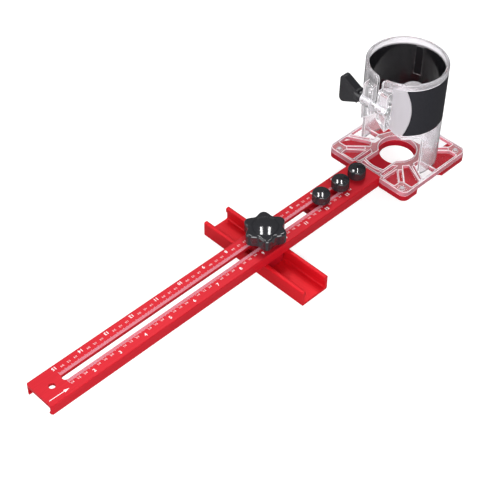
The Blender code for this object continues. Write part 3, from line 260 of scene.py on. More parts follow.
wire(grain, noise, "Fac", grain_out, "Mask")
wire(grain, bump, "Normal", grain_out, "Normal")


def toned(name, dark, light, scale, stretch, depth):
    """Return a material and its shader, coloured between two tones by the grain."""
    material = bpy.data.materials.new(name)
    material.use_nodes = True
    tree = material.node_tree
    shader = tree.nodes["Principled BSDF"]
    texture = tree.nodes.new("ShaderNodeGroup")
    texture.node_tree = grain
    texture.inputs["Scale"].default_value = scale
    texture.inputs["Stretch"].default_value = stretch
    texture.inputs["Depth"].default_value = depth
    blend = tree.nodes.new("ShaderNodeMix")
    blend.data_type = "RGBA"
    blend.inputs["A"].default_value = (*dark, 1)
    blend.inputs["B"].default_value = (*light, 1)
    wire(tree, texture, "Mask", blend, "Factor")
    tree.links.new(blend.outputs["Result"], shader.inputs["Base Color"])
    wire(tree, texture, "Normal", shader, "Normal")
    return material, shader


def grained(name, dark, light, roughness, scale, stretch, depth, metallic, shine):
    """Return an opaque finish whose colour runs between two tones with the grain."""
    material, shader = toned(name, dark, light, scale, stretch, depth)
    shader.inputs["Roughness"].default_value = roughness
    shader.inputs["Metallic"].default_value = metallic
    shader.inputs["Specular IOR Level"].default_value = shine
    return material


# %% [markdown]
# ### The opaque finishes
# Every surface below is a row of roughness, grain scale, stretch, depth, metal share and shine. The
# drawn ones have their grain stretched along the extrusion. The three inks differ only in tone,
# because the finer the print is, the more red the photograph mixes into it.

# %% Opaque finishes
EVEN = (1, 1, 1)
DRAWN_ARM = (0.42, 1400, (0.03, 1, 1), 0.00001, 0.35, 0.25)
DRAWN_FENCE = (0.42, 1400, (1, 0.03, 1), 0.00002, 0.35, 0.25)
MILLED = (0.42, 1200, EVEN, 0.00001, 0.35, 0.25)
GLOSSY = (0.09, 1500, EVEN, 0.000002, 0.0, 0.8)
SATIN = (0.32, 1500, EVEN, 0.000004, 0.0, 0.7)
MATT = (0.60, 1500, EVEN, 0.00006, 0.0, 0.2)
PLATED = (0.28, 900, EVEN, 0.00001, 0.6, 0.5)
PRINTED = (0.5, 2000, EVEN, 0.000005, 0.0, 0.5)

red_arm = grained("red_anodised_arm", (0.47, 0.007, 0.017), (0.64, 0.014, 0.026), *DRAWN_ARM)
red_fence = grained("red_anodised_fence", (0.54, 0.006, 0.013), (0.74, 0.010, 0.020), *DRAWN_FENCE)
red_plate = grained("red_anodised_plate", (0.42, 0.006, 0.018), (0.56, 0.010, 0.026), *MILLED)
black_plastic = grained("black_gloss_plastic", (0.014, 0.014, 0.017), (0.024, 0.024, 0.028), *GLOSSY)
black_satin = grained("black_satin_plastic", (0.008, 0.008, 0.010), (0.015, 0.015, 0.019), *SATIN)
# painted shade: a darker copy of the rubber for the sleeve's inward faces
rubber_painted_shade = grained("rubber_painted_shade", (0.003, 0.003, 0.004), (0.010, 0.010, 0.013), *MATT)
black_rubber = grained("black_rubber", (0.008, 0.008, 0.011), (0.026, 0.026, 0.032), *MATT)
zinc = grained("zinc_steel", (0.66, 0.67, 0.69), (0.88, 0.89, 0.90), *PLATED)
white_ink = grained("white_ink", (0.80, 0.78, 0.79), (0.95, 0.94, 0.95), *PRINTED)
fine_ink = grained("fraction_ink", (0.70, 0.60, 0.63), (0.84, 0.76, 0.79), *PRINTED)
pink_ink = grained("fine_tick_ink", (0.50, 0.30, 0.38), (0.66, 0.44, 0.52), *PRINTED)
print("finishes:", [material.name for material in bpy.data.materials])

# %% [markdown]
# ## Clear plastic
# Polycarbonate bends light like glass, a little more than acrylic. Light reaches what lies behind it,
# so the shader lets shadow rays pass: without that the red plate under the flange would turn black.
# A ray that was mirrored once also goes straight on where it meets a wall from outside, and after its
# third mirroring it passes every wall, so that none stays trapped in the moulding.

# %% Clear finishes
PLASTIC_INDEX = 1.5
FLOW_SCALE = 160
FLOW_STRETCH = (1, 1, 0.35)
FLOW_TONES = (0.94, 1.05)
FIRST_MIRROR = 0.5
THIRD_MIRROR = 2.5
WEAK_MIRROR = (0.2, 0.2, 0.2, 1)


def clear_finish(name, colour, roughness, transmission, shade, wave):
    """Return a see-through plastic with flow marks, which lets shadow rays pass with a tint."""
    dark = [value * FLOW_TONES[0] for value in colour]
    light = [min(1, value * FLOW_TONES[1]) for value in colour]
    material, shader = toned(name, dark, light, FLOW_SCALE, FLOW_STRETCH, wave)
    shader.inputs["Roughness"].default_value = roughness
    shader.inputs["IOR"].default_value = PLASTIC_INDEX
    shader.inputs["Transmission Weight"].default_value = transmission
    tree = material.node_tree
    path = tree.nodes.new("ShaderNodeLightPath")
    geometry = tree.nodes.new("ShaderNodeNewGeometry")
    outside = maths(tree, "SUBTRACT", 1, geometry.outputs["Backfacing"])
    passing = maths(tree, "MAXIMUM", outside, path.outputs["Transparent Depth"])
    mirrored = maths(tree, "GREATER_THAN", path.outputs["Glossy Depth"], FIRST_MIRROR)
    trapped = maths(tree, "GREATER_THAN", path.outputs["Glossy Depth"], THIRD_MIRROR)
    straight = maths(tree, "MAXIMUM", maths(tree, "MULTIPLY", mirrored, passing), trapped)
    factor = pick(tree, maths(tree, "MAXIMUM", path.outputs["Is Shadow Ray"], straight), 0, 1)
    clear_pass = tree.nodes.new("ShaderNodeBsdfTransparent")
    clear_pass.inputs["Color"].default_value = (shade, shade, shade, 1)
    mix = tree.nodes.new("ShaderNodeMixShader")
    wire(tree, factor, "Result", mix, "Fac")
    tree.links.new(shader.outputs["BSDF"], mix.inputs[1])
    tree.links.new(clear_pass.outputs["BSDF"], mix.inputs[2])
    wire(tree, mix, "Shader", tree.nodes["Material Output"], "Surface")
    return material


# %% [markdown]
# ### The base's five clear finishes
# The plain one backs the black sleeve and mirrors weakly, so that the bore stays as dark as in the
# photograph. The others are the whitish edges, whose white is a painted highlight, the cloudy walls,
# the frosted gusset, and the flange's walls, whose pink tint is painted red light that they gather from
# the plate under them. Each has a colour, a roughness, a share of light let through, a tone for its
# shadow and a depth of flow marks.

# %% The five finishes
clear_plastic = clear_finish("clear_polycarbonate", (0.86, 0.845, 0.86), 0.03, 1.0, 0.93, 0.0001)
clear_plastic.node_tree.nodes["Principled BSDF"].inputs["Specular Tint"].default_value = WEAK_MIRROR
# the whitish edge finish is a painted highlight for the light that the moulded edges gather
edge_painted_glint = clear_finish("clear_edge_painted_glint", (0.95, 0.93, 0.95), 0.30, 0.15, 0.92, 0.0)
milky_plastic = clear_finish("clear_flow_marked", (0.84, 0.82, 0.85), 0.10, 0.78, 0.94, 0.0004)
frosted_plastic = clear_finish("clear_frosted", (0.54, 0.52, 0.55), 0.35, 0.35, 0.92, 0.0002)
# the pink tint of the flange's walls is painted red light that they gather from the plate
wall_painted_red_light = clear_finish("clear_wall_painted_red_light", (0.74, 0.27, 0.33), 0.18, 0.55, 0.93, 0.0002)
print("clear finishes:", [item.name for item in bpy.data.materials if item.name.startswith("clear")])

# %% [markdown]
# ## Helpers for the pieces
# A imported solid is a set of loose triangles. Its copy is welded, its flat faces are joined again, and a
# small bevel breaks the edges as tumbling and anodising do. Weighted normals keep the big faces flat
# while the bevels catch the light.

# %% Dress a solid
BROKEN_EDGE_ANGLE = math.radians(35)
WELD_DISTANCE = 0.000004
FLAT_ANGLE = math.radians(0.5)


def bake(piece):
    """Keep a piece's evaluated mesh and drop its modifiers."""
    graph = bpy.context.evaluated_depsgraph_get()
    mesh = bpy.data.meshes.new_from_object(piece.evaluated_get(graph), depsgraph=graph)
    old = piece.data
    piece.modifiers.clear()
    piece.data = mesh
    if old.users == 0:
        bpy.data.meshes.remove(old)
    return piece


def link_piece(name, mesh, material):
    """Add a mesh to the scene with one material."""
    piece = bpy.data.objects.new(name, mesh)
    bpy.context.scene.collection.objects.link(piece)
    mesh.materials.clear()
    mesh.materials.append(material)
    return piece


def round_shading(piece, angle=BROKEN_EDGE_ANGLE):
    """Shade a piece smoothly between its sharp edges, with the large faces kept flat."""
    piece.data.polygons.foreach_set("use_smooth", [True] * len(piece.data.polygons))
    piece.data.set_sharp_from_angle(angle=angle)
    weigh = piece.modifiers.new("weigh", "WEIGHTED_NORMAL")
    weigh.keep_sharp = True
    return bake(piece)


def show(piece, body, slot, *nodes):
    """Let a piece ride on a body and stand for its solids."""
    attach(piece, body)
    if nodes:
        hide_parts(*nodes)
    print(piece.name, len(piece.data.polygons), "faces")
    return piece


def as_mesh(name, shape):
    """Turn an edited shape into a mesh and let the shape go."""
    mesh = bpy.data.meshes.new(name)
    shape.to_mesh(mesh)
    shape.free()
    return mesh


def welded(node):
    """Return a solid's shape as one skin, with its flat faces joined again."""
    shape = bmesh.new()
    shape.from_mesh(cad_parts[node].data)
    bmesh.ops.remove_doubles(shape, verts=shape.verts, dist=WELD_DISTANCE)
    bmesh.ops.dissolve_limit(shape, angle_limit=FLAT_ANGLE, verts=shape.verts, edges=shape.edges)
    return shape


def break_edges(piece, width, segments, edge_finish=-1):
    """Round off a piece's sharp edges, and give them a finish of their own if one is numbered."""
    bevel = piece.modifiers.new("broken_edge", "BEVEL")
    bevel.width = width
    bevel.segments = segments
    bevel.limit_method = "ANGLE"
    bevel.angle_limit = BROKEN_EDGE_ANGLE
    bevel.material = edge_finish
    return bake(piece)


def dressed(node, body, slot, material, edge):
    """Show a welded copy of a solid with broken edges."""
    name = node + "_dressed"
    piece = link_piece(name, as_mesh(name, welded(node)), material)
    return show(round_shading(break_edges(piece, edge, 2)), body, slot, node)


# %% [markdown]
# ## The extrusions and the plate
# The arm, the fence, its guide block and the plate are aluminium, cut to length and anodised. Their
# sawn ends and machined slots have only a hair of broken edge.

# %% Arm, fence, block and plate
dressed("rail_arm", "jig", "red_anodised", red_arm, edge=0.00015)
dressed("fence_channel", "fence", "red_anodised", red_fence, edge=0.00015)
dressed("guide_block", "fence", "red_anodised", red_plate, edge=0.00012)
dressed("base_plate", "jig", "red_anodised", red_plate, edge=0.0002)

# %% [markdown]
# ## The printed scale
# Fine ticks a thirty-second of an inch apart line both sides of the slot, with longer ones at each
# eighth and quarter. Ticks repeat by a rule, so Geometry Nodes make them: a line of points carries one
# thin bar, which stretches from its own end, and each bar's length depends on its number.

# %% Helpers for trees
def new_tree(name, inputs):
    """Start a geometry tree with named inputs."""
    tree = bpy.data.node_groups.new(name, "GeometryNodeTree")
    tree.interface.new_socket("Geometry", in_out="INPUT", socket_type="NodeSocketGeometry")
    for label, kind in inputs:
        tree.interface.new_socket(label, in_out="INPUT", socket_type=kind)
    tree.interface.new_socket("Geometry", in_out="OUTPUT", socket_type="NodeSocketGeometry")
    return tree, tree.nodes.new("NodeGroupInput"), tree.nodes.new("NodeGroupOutput")


def grow(piece, tree, values):
    """Run a tree on a piece with its named values and keep the result as a plain mesh."""
    modifier = piece.modifiers.new(tree.name, "NODES")
    modifier.node_group = tree
    for item in tree.interface.items_tree:
        if item.in_out == "INPUT" and item.name in values:
            modifier[item.identifier] = values[item.name]
    return bake(piece)


def send_painted(tree, node, output, tree_in, tree_out, finish):
    """End a tree: make a node's instances real, paint them and send them out."""
    real = tree.nodes.new("GeometryNodeRealizeInstances")
    wire(tree, node, output, real, "Geometry")
    paint = tree.nodes.new("GeometryNodeSetMaterial")
    wire(tree, real, "Geometry", paint, "Geometry")
    wire(tree, tree_in, finish, paint, "Material")
    wire(tree, paint, "Geometry", tree_out, "Geometry")
    print("tree:", tree.name, len(tree.nodes), "nodes")


# %% A tree for rows of ticks
TICKS_PER_INCH = 32
TICKS_PER_EIGHTH = 4
TICKS_PER_QUARTER = 8
FROM_ITS_END = (0, 0.5, 0)

ticks, ticks_in, ticks_out = new_tree("tick_row", [
    ("Count", "NodeSocketInt"), ("Start", "NodeSocketVector"), ("Step", "NodeSocketVector"),
    ("Bar", "NodeSocketVector"), ("Turn", "NodeSocketVector"), ("Short", "NodeSocketFloat"),
    ("Growth", "NodeSocketFloat"), ("Ink", "NodeSocketMaterial"),
])
line = ticks.nodes.new("GeometryNodeMeshLine")
wire(ticks, ticks_in, "Count", line, "Count")
wire(ticks, ticks_in, "Start", line, "Start Location")
wire(ticks, ticks_in, "Step", line, "Offset")
bar = ticks.nodes.new("GeometryNodeMeshCube")
wire(ticks, ticks_in, "Bar", bar, "Size")
shift = ticks.nodes.new("GeometryNodeTransform")
shift.inputs["Translation"].default_value = FROM_ITS_END
wire(ticks, bar, "Mesh", shift, "Geometry")
number = ticks.nodes.new("GeometryNodeInputIndex").outputs["Index"]
eighth = maths(ticks, "COMPARE", maths(ticks, "MODULO", number, TICKS_PER_EIGHTH), 0)
quarter = maths(ticks, "COMPARE", maths(ticks, "MODULO", number, TICKS_PER_QUARTER), 0)
growth = maths(ticks, "MULTIPLY", maths(ticks, "ADD", eighth, quarter), ticks_in.outputs["Growth"])
length = maths(ticks, "ADD", growth, ticks_in.outputs["Short"])
size = ticks.nodes.new("ShaderNodeCombineXYZ")
size.inputs["X"].default_value = 1
size.inputs["Z"].default_value = 1
ticks.links.new(length, size.inputs["Y"])
copies = ticks.nodes.new("GeometryNodeInstanceOnPoints")
wire(ticks, line, "Mesh", copies, "Points")
wire(ticks, shift, "Geometry", copies, "Instance")
wire(ticks, ticks_in, "Turn", copies, "Rotation")
wire(ticks, size, "Vector", copies, "Scale")
send_painted(ticks, copies, "Instances", ticks_in, ticks_out, "Ink")

# %% Print the two rows of ticks
INCH = 0.0254
ARM_START_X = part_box("rail_arm")[0].x
ARM_TOP_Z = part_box("rail_arm")[1].z
INK_THICKNESS = 0.00004
INK_Z = ARM_TOP_Z + INK_THICKNESS / 2
TICK_WIDTH = 0.00034
TICK_INNER_Y = 0.0033
TICK_LENGTH = 0.0026
TICK_GROWTH = 0.0004
NEAR_FIRST_X = ARM_START_X + 0.0447
FAR_FIRST_X = ARM_START_X + 0.0239
NEAR_LEAD = INCH * 0.8125
ROWS_END_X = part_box("knob_stud_2")[1].x


def tick_row(name, side, start_x):
    """Print one row of ticks along the slot."""
    step = INCH / TICKS_PER_INCH
    piece = link_piece(name, bpy.data.meshes.new(name), pink_ink)
    grow(piece, ticks, {
        "Count": int((ROWS_END_X - start_x) / step) + 1,
        "Start": (start_x, side * TICK_INNER_Y, INK_Z), "Step": (step, 0, 0),
        "Bar": (TICK_WIDTH, 1, INK_THICKNESS), "Turn": (0, 0, 0 if side > 0 else math.pi),
        "Short": TICK_LENGTH, "Growth": TICK_GROWTH, "Ink": pink_ink,
    })
    return show(piece, "jig", "red_anodised")


tick_row("near_ticks", -1, NEAR_FIRST_X - NEAR_LEAD)
tick_row("far_ticks", 1, FAR_FIRST_X)

# %% [markdown]
# ## Numbers, quarter marks and the arrow
# Each inch has a number, and small fractions stand between them. The near row reads from the near side
# and the far row is turned round, so that the scale can be read from either side. Text objects are
# turned into meshes, moved to their places and joined.

# %% Print the numbers
NUMBER_HEIGHT = 0.0042
NUMBER_WEIGHT = 0.00009
FRACTION_HEIGHT = 0.0024
FRACTION_WEIGHT = 0.00001
NEAR_NUMBER_Y = -0.0104
FAR_NUMBER_Y = 0.0118
NEAR_FRACTION_Y = -0.0079
FAR_FRACTION_Y = 0.0098
NEAR_INCHES = range(2, 14)
FAR_INCHES = range(3, 16)
QUARTERS = range(-3, 46)
QUARTER_WORDS = ("1/4", "1/2", "3/4")
LETTER_STEPS = 2


def printed_text(words, height, place, turn, weight):
    """Return the mesh of a few characters centred on a place."""
    data = bpy.data.curves.new("print", "FONT")
    data.body = words
    data.size = height
    data.offset = weight
    data.resolution_u = LETTER_STEPS
    data.align_x = "CENTER"
    data.align_y = "CENTER"
    data.extrude = INK_THICKNESS / 2
    item = bpy.data.objects.new("print", data)
    bpy.context.scene.collection.objects.link(item)
    graph = bpy.context.evaluated_depsgraph_get()
    mesh = bpy.data.meshes.new_from_object(item.evaluated_get(graph))
    mesh.transform(Matrix.Translation(place) @ Matrix.Rotation(turn, 4, "Z"))
    bpy.data.objects.remove(item)
    return mesh


def join_meshes(name, meshes, material):
    """Join meshes into one piece."""
    shape = bmesh.new()
    for mesh in meshes:
        shape.from_mesh(mesh)
        bpy.data.meshes.remove(mesh)
    return link_piece(name, as_mesh(name, shape), material)


numbers = []
for inch in NEAR_INCHES:
    spot = (NEAR_FIRST_X + (inch - NEAR_INCHES[0]) * INCH, NEAR_NUMBER_Y, INK_Z)
    numbers.append(printed_text(str(inch), NUMBER_HEIGHT, spot, 0, NUMBER_WEIGHT))
for inch in FAR_INCHES:
    spot = (FAR_FIRST_X + (FAR_INCHES[-1] - inch) * INCH, FAR_NUMBER_Y, INK_Z)
    numbers.append(printed_text(str(inch), NUMBER_HEIGHT, spot, math.pi, NUMBER_WEIGHT))
show(join_meshes("scale_numbers", numbers, white_ink), "jig", "red_anodised")

# %% Print the fractions
fractions = []
for count in QUARTERS:
    part = count % 4
    if part:
        spot = (NEAR_FIRST_X + count * INCH / 4, NEAR_FRACTION_Y, INK_Z)
        words = QUARTER_WORDS[part - 1]
        fractions.append(printed_text(words, FRACTION_HEIGHT, spot, 0, FRACTION_WEIGHT))
    if part and count > 0:
        spot = (FAR_FIRST_X + count * INCH / 4, FAR_FRACTION_Y, INK_Z)
        words = QUARTER_WORDS[3 - part]
        fractions.append(printed_text(words, FRACTION_HEIGHT, spot, math.pi, FRACTION_WEIGHT))
show(join_meshes("scale_fractions", fractions, fine_ink), "jig", "red_anodised")

# %% Print the arrow
ARROW_START = Vector((ARM_START_X + 0.0022, -0.0100))
ARROW_HEAD = Vector((ARM_START_X + 0.0160, -0.0103))
ARROW_TIP = Vector((ARM_START_X + 0.0206, -0.0104))
ARROW_HALF_LINE = 0.00028
ARROW_HALF_HEAD = 0.0013
outline = (
    (ARROW_START, -ARROW_HALF_LINE), (ARROW_HEAD, -ARROW_HALF_LINE), (ARROW_HEAD, -ARROW_HALF_HEAD),
    (ARROW_TIP, 0), (ARROW_HEAD, ARROW_HALF_HEAD), (ARROW_HEAD, ARROW_HALF_LINE),
    (ARROW_START, ARROW_HALF_LINE),
)
shape = bmesh.new()
face = shape.faces.new([shape.verts.new((spot.x, spot.y + aside, ARM_TOP_Z)) for spot, aside in outline])
raised = bmesh.ops.extrude_face_region(shape, geom=[face])
top_points = [part for part in raised["geom"] if isinstance(part, bmesh.types.BMVert)]
bmesh.ops.translate(shape, vec=(0, 0, INK_THICKNESS), verts=top_points)
bmesh.ops.recalc_face_normals(shape, faces=shape.faces)
show(link_piece("scale_arrow", as_mesh("scale_arrow", shape), white_ink), "jig", "red_anodised")

# %% [markdown]
# ## Knobs
# A knob is a turned or lobed body of black phenolic, polished in its mould. Both kinds are skins over
# rings of points, so one helper closes any stack of rings, and the outline may change from a star to a
# circle on the way up.

# %% Skin a stack of rings
def skinned(name, rings, material):
    """Return a piece from closed rings, bottom to top, with a point or a fan at each end."""
    shape = bmesh.new()
    made = [[shape.verts.new(point) for point in ring] for ring in rings]
    for low, high in zip(made, made[1:]):
        count = len(low)
        for index in range(count):
            after = (index + 1) % count
            shape.faces.new((low[index], low[after], high[after], high[index]))
    for ring, order in ((made[0], -1), (made[-1], 1)):
        middle = shape.verts.new(sum((vert.co for vert in ring), Vector()) / len(ring))
        for index in range(len(ring)):
            pair = (ring[index], ring[(index + 1) % len(ring)])[::order]
            shape.faces.new((*pair, middle))
    return link_piece(name, as_mesh(name, shape), material)


def polar(centre, radius, turn, height):
    """Return a point at a radius and a turn round an upright axis."""
    return (centre.x + radius * math.cos(turn), centre.y + radius * math.sin(turn), height)


def circle(centre, radius, height, steps, start=0.0):
    """Return a level ring of points."""
    return [polar(centre, radius, start + math.tau * step / steps, height) for step in range(steps)]


# %% [markdown]
# ### The star knob
# Six round lobes give a hand grip. The centre is a low dome inside a fine groove, where a real knob has
# its moulded cap.

# %% Star knob
STAR_LOBES = 6
STAR_TIP_RADIUS = 0.0186
STAR_LOBE_DEPTH = 0.0040
STAR_TIP_ANGLE = math.radians(50)
STAR_STEPS = 144
STAR_SOCKET_RADIUS = 0.0027
STAR_HUB_RADIUS = 0.0085
STAR_HUB_HEIGHT = 0.0018
STAR_HUB_EDGE = 0.0003
STAR_BODY_HEIGHT = 0.0114
STAR_FOOT = ((0.0022, 0.0), (0.0012, 0.0001), (0.0004, 0.0006), (0.0, 0.0016))
STAR_EDGE_RADIUS = 0.0022
STAR_EDGE_STEPS = 6
STAR_SHOULDER_ROUNDNESS = 0.6
STAR_CAP_RADIUS = 0.0112
STAR_GROOVE = ((0.0110, -0.0003), (0.0108, -0.0003))
STAR_DOME_RADIUS = 0.0106
STAR_DOME_START = 0.0002
STAR_DOME_STEPS = 8
star_low, star_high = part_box("star_knob")
STAR_HUB_BOTTOM = star_low.z
STAR_BODY_BOTTOM = STAR_HUB_BOTTOM + STAR_HUB_HEIGHT
STAR_BODY_TOP = STAR_BODY_BOTTOM + STAR_BODY_HEIGHT
stud_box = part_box("star_stud")
STAR_CENTRE = (stud_box[0] + stud_box[1]) / 2


def star_ring(inset, height, roundness=0.0):
    """Return a lobed ring, drawn in by an inset and made rounder by a share."""
    points = []
    for step in range(STAR_STEPS):
        turn = math.tau * step / STAR_STEPS
        wave = (1 - math.cos(STAR_LOBES * turn)) / 2
        radius = STAR_TIP_RADIUS - STAR_LOBE_DEPTH * wave - inset
        radius = radius * (1 - roundness) + STAR_CAP_RADIUS * roundness
        points.append(polar(STAR_CENTRE, radius, turn + STAR_TIP_ANGLE, height))
    return points


def round_ring(radius, height):
    """Return a round ring whose points lie in line with the lobed ones."""
    return circle(STAR_CENTRE, radius, height, STAR_STEPS, STAR_TIP_ANGLE)


star_rings = [
    round_ring(STAR_SOCKET_RADIUS, STAR_HUB_BOTTOM),
    round_ring(STAR_HUB_RADIUS - STAR_HUB_EDGE, STAR_HUB_BOTTOM),
    round_ring(STAR_HUB_RADIUS, STAR_HUB_BOTTOM + STAR_HUB_EDGE),
    round_ring(STAR_HUB_RADIUS, STAR_BODY_BOTTOM),
]
for inset, rise in (*STAR_FOOT, (0.0, STAR_BODY_HEIGHT - STAR_EDGE_RADIUS)):
    star_rings.append(star_ring(inset, STAR_BODY_BOTTOM + rise))
for step in range(1, STAR_EDGE_STEPS + 1):
    angle = math.pi / 2 * step / STAR_EDGE_STEPS
    inset = STAR_EDGE_RADIUS * (1 - math.cos(angle))
    star_rings.append(star_ring(inset, STAR_BODY_TOP - STAR_EDGE_RADIUS * (1 - math.sin(angle))))
star_rings.append(star_ring(STAR_EDGE_RADIUS, STAR_BODY_TOP, STAR_SHOULDER_ROUNDNESS))
for radius, rise in ((STAR_CAP_RADIUS, 0.0), *STAR_GROOVE, (STAR_DOME_RADIUS, STAR_DOME_START)):
    star_rings.append(round_ring(radius, STAR_BODY_TOP + rise))
dome_rise = star_high.z - STAR_BODY_TOP - STAR_DOME_START
for step in range(1, STAR_DOME_STEPS):
    share = 1 - step / STAR_DOME_STEPS
    height = STAR_BODY_TOP + STAR_DOME_START + dome_rise * (1 - share ** 2)
    star_rings.append(round_ring(STAR_DOME_RADIUS * share, height))
star = round_shading(skinned("star_knob_moulded", star_rings, black_plastic))
show(star, "star", "black_plastic", "star_knob")

# %% [markdown]
# ### The round knobs
# Three small knobs have a fine knurl. The knob's body is turned, and Geometry Nodes set slim ribs round
# it, one on each point of a circle.

# %% A tree for the knurl
RIB_SIDES = 6

knurl, knurl_in, knurl_out = new_tree("knurl", [
    ("Ribs", "NodeSocketInt"), ("Circle radius", "NodeSocketFloat"), ("Rib radius", "NodeSocketFloat"),
    ("Rib height", "NodeSocketFloat"), ("Place", "NodeSocketVector"), ("Finish", "NodeSocketMaterial"),
])
ring = knurl.nodes.new("GeometryNodeMeshCircle")
wire(knurl, knurl_in, "Ribs", ring, "Vertices")
wire(knurl, knurl_in, "Circle radius", ring, "Radius")
rib = knurl.nodes.new("GeometryNodeMeshCylinder")
rib.inputs["Vertices"].default_value = RIB_SIDES
wire(knurl, knurl_in, "Rib radius", rib, "Radius")
wire(knurl, knurl_in, "Rib height", rib, "Depth")
ribs = knurl.nodes.new("GeometryNodeInstanceOnPoints")
wire(knurl, ring, "Mesh", ribs, "Points")
wire(knurl, rib, "Mesh", ribs, "Instance")
moved = knurl.nodes.new("GeometryNodeTransform")
wire(knurl, ribs, "Instances", moved, "Geometry")
wire(knurl, knurl_in, "Place", moved, "Translation")
both = knurl.nodes.new("GeometryNodeJoinGeometry")
wire(knurl, knurl_in, "Geometry", both, "Geometry")
wire(knurl, moved, "Geometry", both, "Geometry")
send_painted(knurl, both, "Geometry", knurl_in, knurl_out, "Finish")

# %% Round knobs
KNOB_RADIUS = 0.00785
KNOB_STEPS = 72
KNOB_FOOT = ((0.0029, 0.0), (0.0053, 0.0), (0.0055, 0.0002))
KNOB_NECK_RADIUS = 0.0055
KNOB_NECK_HEIGHT = 0.0008
KNOB_LOWER_EDGE = 0.0004
KNOB_SHOULDER_INSET = 0.0012
KNOB_SHOULDER_DROP = 0.0013
KNOB_SHOULDER_STEPS = 5
KNOB_CROWN_HEIGHT = 0.00105
KNOB_CROWN_STEPS = 7
RIB_COUNT = 40
RIB_RADIUS = 0.00022
RIB_START = 0.0005
RIB_ALLOWANCE = 0.0022
core = KNOB_RADIUS - RIB_RADIUS

for index in (1, 2, 3):
    low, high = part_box("round_knob_%d" % index)
    centre = (low + high) / 2
    body_low = low.z + KNOB_NECK_HEIGHT
    crown_low = high.z - KNOB_CROWN_HEIGHT
    profile = [(radius, low.z + rise) for radius, rise in KNOB_FOOT]
    profile += [(KNOB_NECK_RADIUS, body_low), (core - KNOB_LOWER_EDGE, body_low)]
    profile += [(core, body_low + KNOB_LOWER_EDGE), (core, crown_low - KNOB_SHOULDER_DROP)]
    for step in range(1, KNOB_SHOULDER_STEPS + 1):
        angle = math.pi / 2 * step / KNOB_SHOULDER_STEPS
        radius = core - KNOB_SHOULDER_INSET * (1 - math.cos(angle))
        profile.append((radius, crown_low - KNOB_SHOULDER_DROP * (1 - math.sin(angle))))
    for step in range(1, KNOB_CROWN_STEPS):
        share = 1 - step / KNOB_CROWN_STEPS
        height = crown_low + (high.z - crown_low) * (1 - share ** 2)
        profile.append(((core - KNOB_SHOULDER_INSET) * share, height))
    rings = [circle(centre, radius, height, KNOB_STEPS) for radius, height in profile]
    knob = round_shading(skinned("round_knob_%d_turned" % index, rings, black_plastic))
    rib_height = crown_low - body_low - RIB_ALLOWANCE
    grow(knob, knurl, {
        "Ribs": RIB_COUNT, "Circle radius": core, "Rib radius": RIB_RADIUS, "Rib height": rib_height,
        "Place": (centre.x, centre.y, body_low + RIB_START + rib_height / 2), "Finish": black_plastic,
    })
    show(knob, "knob_%d" % index, "black_plastic", "round_knob_%d" % index)

# %% [markdown]
# ### The wing knob
# The wing flares from a round hub and is dished on both faces for the thumb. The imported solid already
# has this shape, so its copy only needs soft shading.

# %% Wing knob
dressed("wing_knob", "wing", "black_plastic", black_satin, edge=0.0004)

# %% [markdown]
# ## Threads
# A thread is one ridge that winds round a rod. A grid of points round and along the rod makes it: each
# point's radius depends on how far along the pitch it is, less its own share of a turn. At both ends
# the rod narrows by the ridge's height, so that a nut finds its way on.

# %% Threaded rods
THREAD_STEPS = 20
THREAD_LEVELS = 6
THREAD_TAPER = 0.8
THREAD_SMOOTH_ANGLE = math.radians(50)
AXIS_Z = 2
AXIS_Y = 1
STUD_THREAD = (0.0008, 0.00035)
CLAMP_THREAD = (0.0007, 0.0003)


def threaded(name, low, high, axis, pitch, depth):
    """Return a threaded rod that fills a box along Z or Y."""
    centre = (low + high) / 2
    span = (high - low)[axis]
    radius = (high - low)[0] / 2
    levels = int(span / pitch * THREAD_LEVELS)
    rings = []
    for level in range(levels + 1):
        along = span * level / levels
        ring = []
        for step in range(THREAD_STEPS):
            turn = math.tau * step / THREAD_STEPS
            phase = (along / pitch - step / THREAD_STEPS) % 1
            crest = abs(phase * 2 - 1)
            tip = min(1, min(along, span - along) / (pitch * THREAD_TAPER))
            local = radius - depth * (1 - crest) - depth * (1 - tip)
            ring.append(Vector((local * math.cos(turn), local * math.sin(turn), along - span / 2)))
        rings.append(ring)
    if axis == AXIS_Y:
        rings = [[Vector((point.x, point.z, -point.y)) for point in ring] for ring in rings]
    rings = [[point + centre for point in ring] for ring in rings]
    return round_shading(skinned(name, rings, zinc), THREAD_SMOOTH_ANGLE)


rod = threaded("star_stud_threaded", *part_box("star_stud"), AXIS_Z, *STUD_THREAD)
show(rod, "star", "zinc_steel", "star_stud")
for index in (1, 2, 3):
    node = "knob_stud_%d" % index
    rod = threaded(node + "_threaded", *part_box(node), AXIS_Z, *STUD_THREAD)
    show(rod, "knob_%d" % index, "zinc_steel", node)
rod = threaded("clamp_screw_threaded", *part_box("clamp_screw"), AXIS_Y, *CLAMP_THREAD)
show(rod, "wing", "zinc_steel", "clamp_screw")

# %% [markdown]
# ## Countersunk screws
# Four screws hold the clear base from under the plate and two hold the guide block under the fence.
# One screw with a cross recess is made, and a tree sets it on every place, each turned by chance as
# a driver leaves it.

# %% A tree for sets of screws
screws, screws_in, screws_out = new_tree("set_screws", [
    ("Screw", "NodeSocketObject"), ("Seed", "NodeSocketInt"), ("Finish", "NodeSocketMaterial"),
])
source = screws.nodes.new("GeometryNodeObjectInfo")
source.inputs["As Instance"].default_value = True
wire(screws, screws_in, "Screw", source, "Object")
chance = screws.nodes.new("FunctionNodeRandomValue")
chance.data_type = "FLOAT_VECTOR"
chance.inputs["Min"].default_value = (0, 0, 0)
chance.inputs["Max"].default_value = (0, 0, math.pi)
wire(screws, screws_in, "Seed", chance, "Seed")
placed = screws.nodes.new("GeometryNodeInstanceOnPoints")
wire(screws, screws_in, "Geometry", placed, "Points")
wire(screws, source, "Geometry", placed, "Instance")
screws.links.new(chance.outputs["Value"], placed.inputs["Rotation"])
send_painted(screws, placed, "Instances", screws_in, screws_out, "Finish")

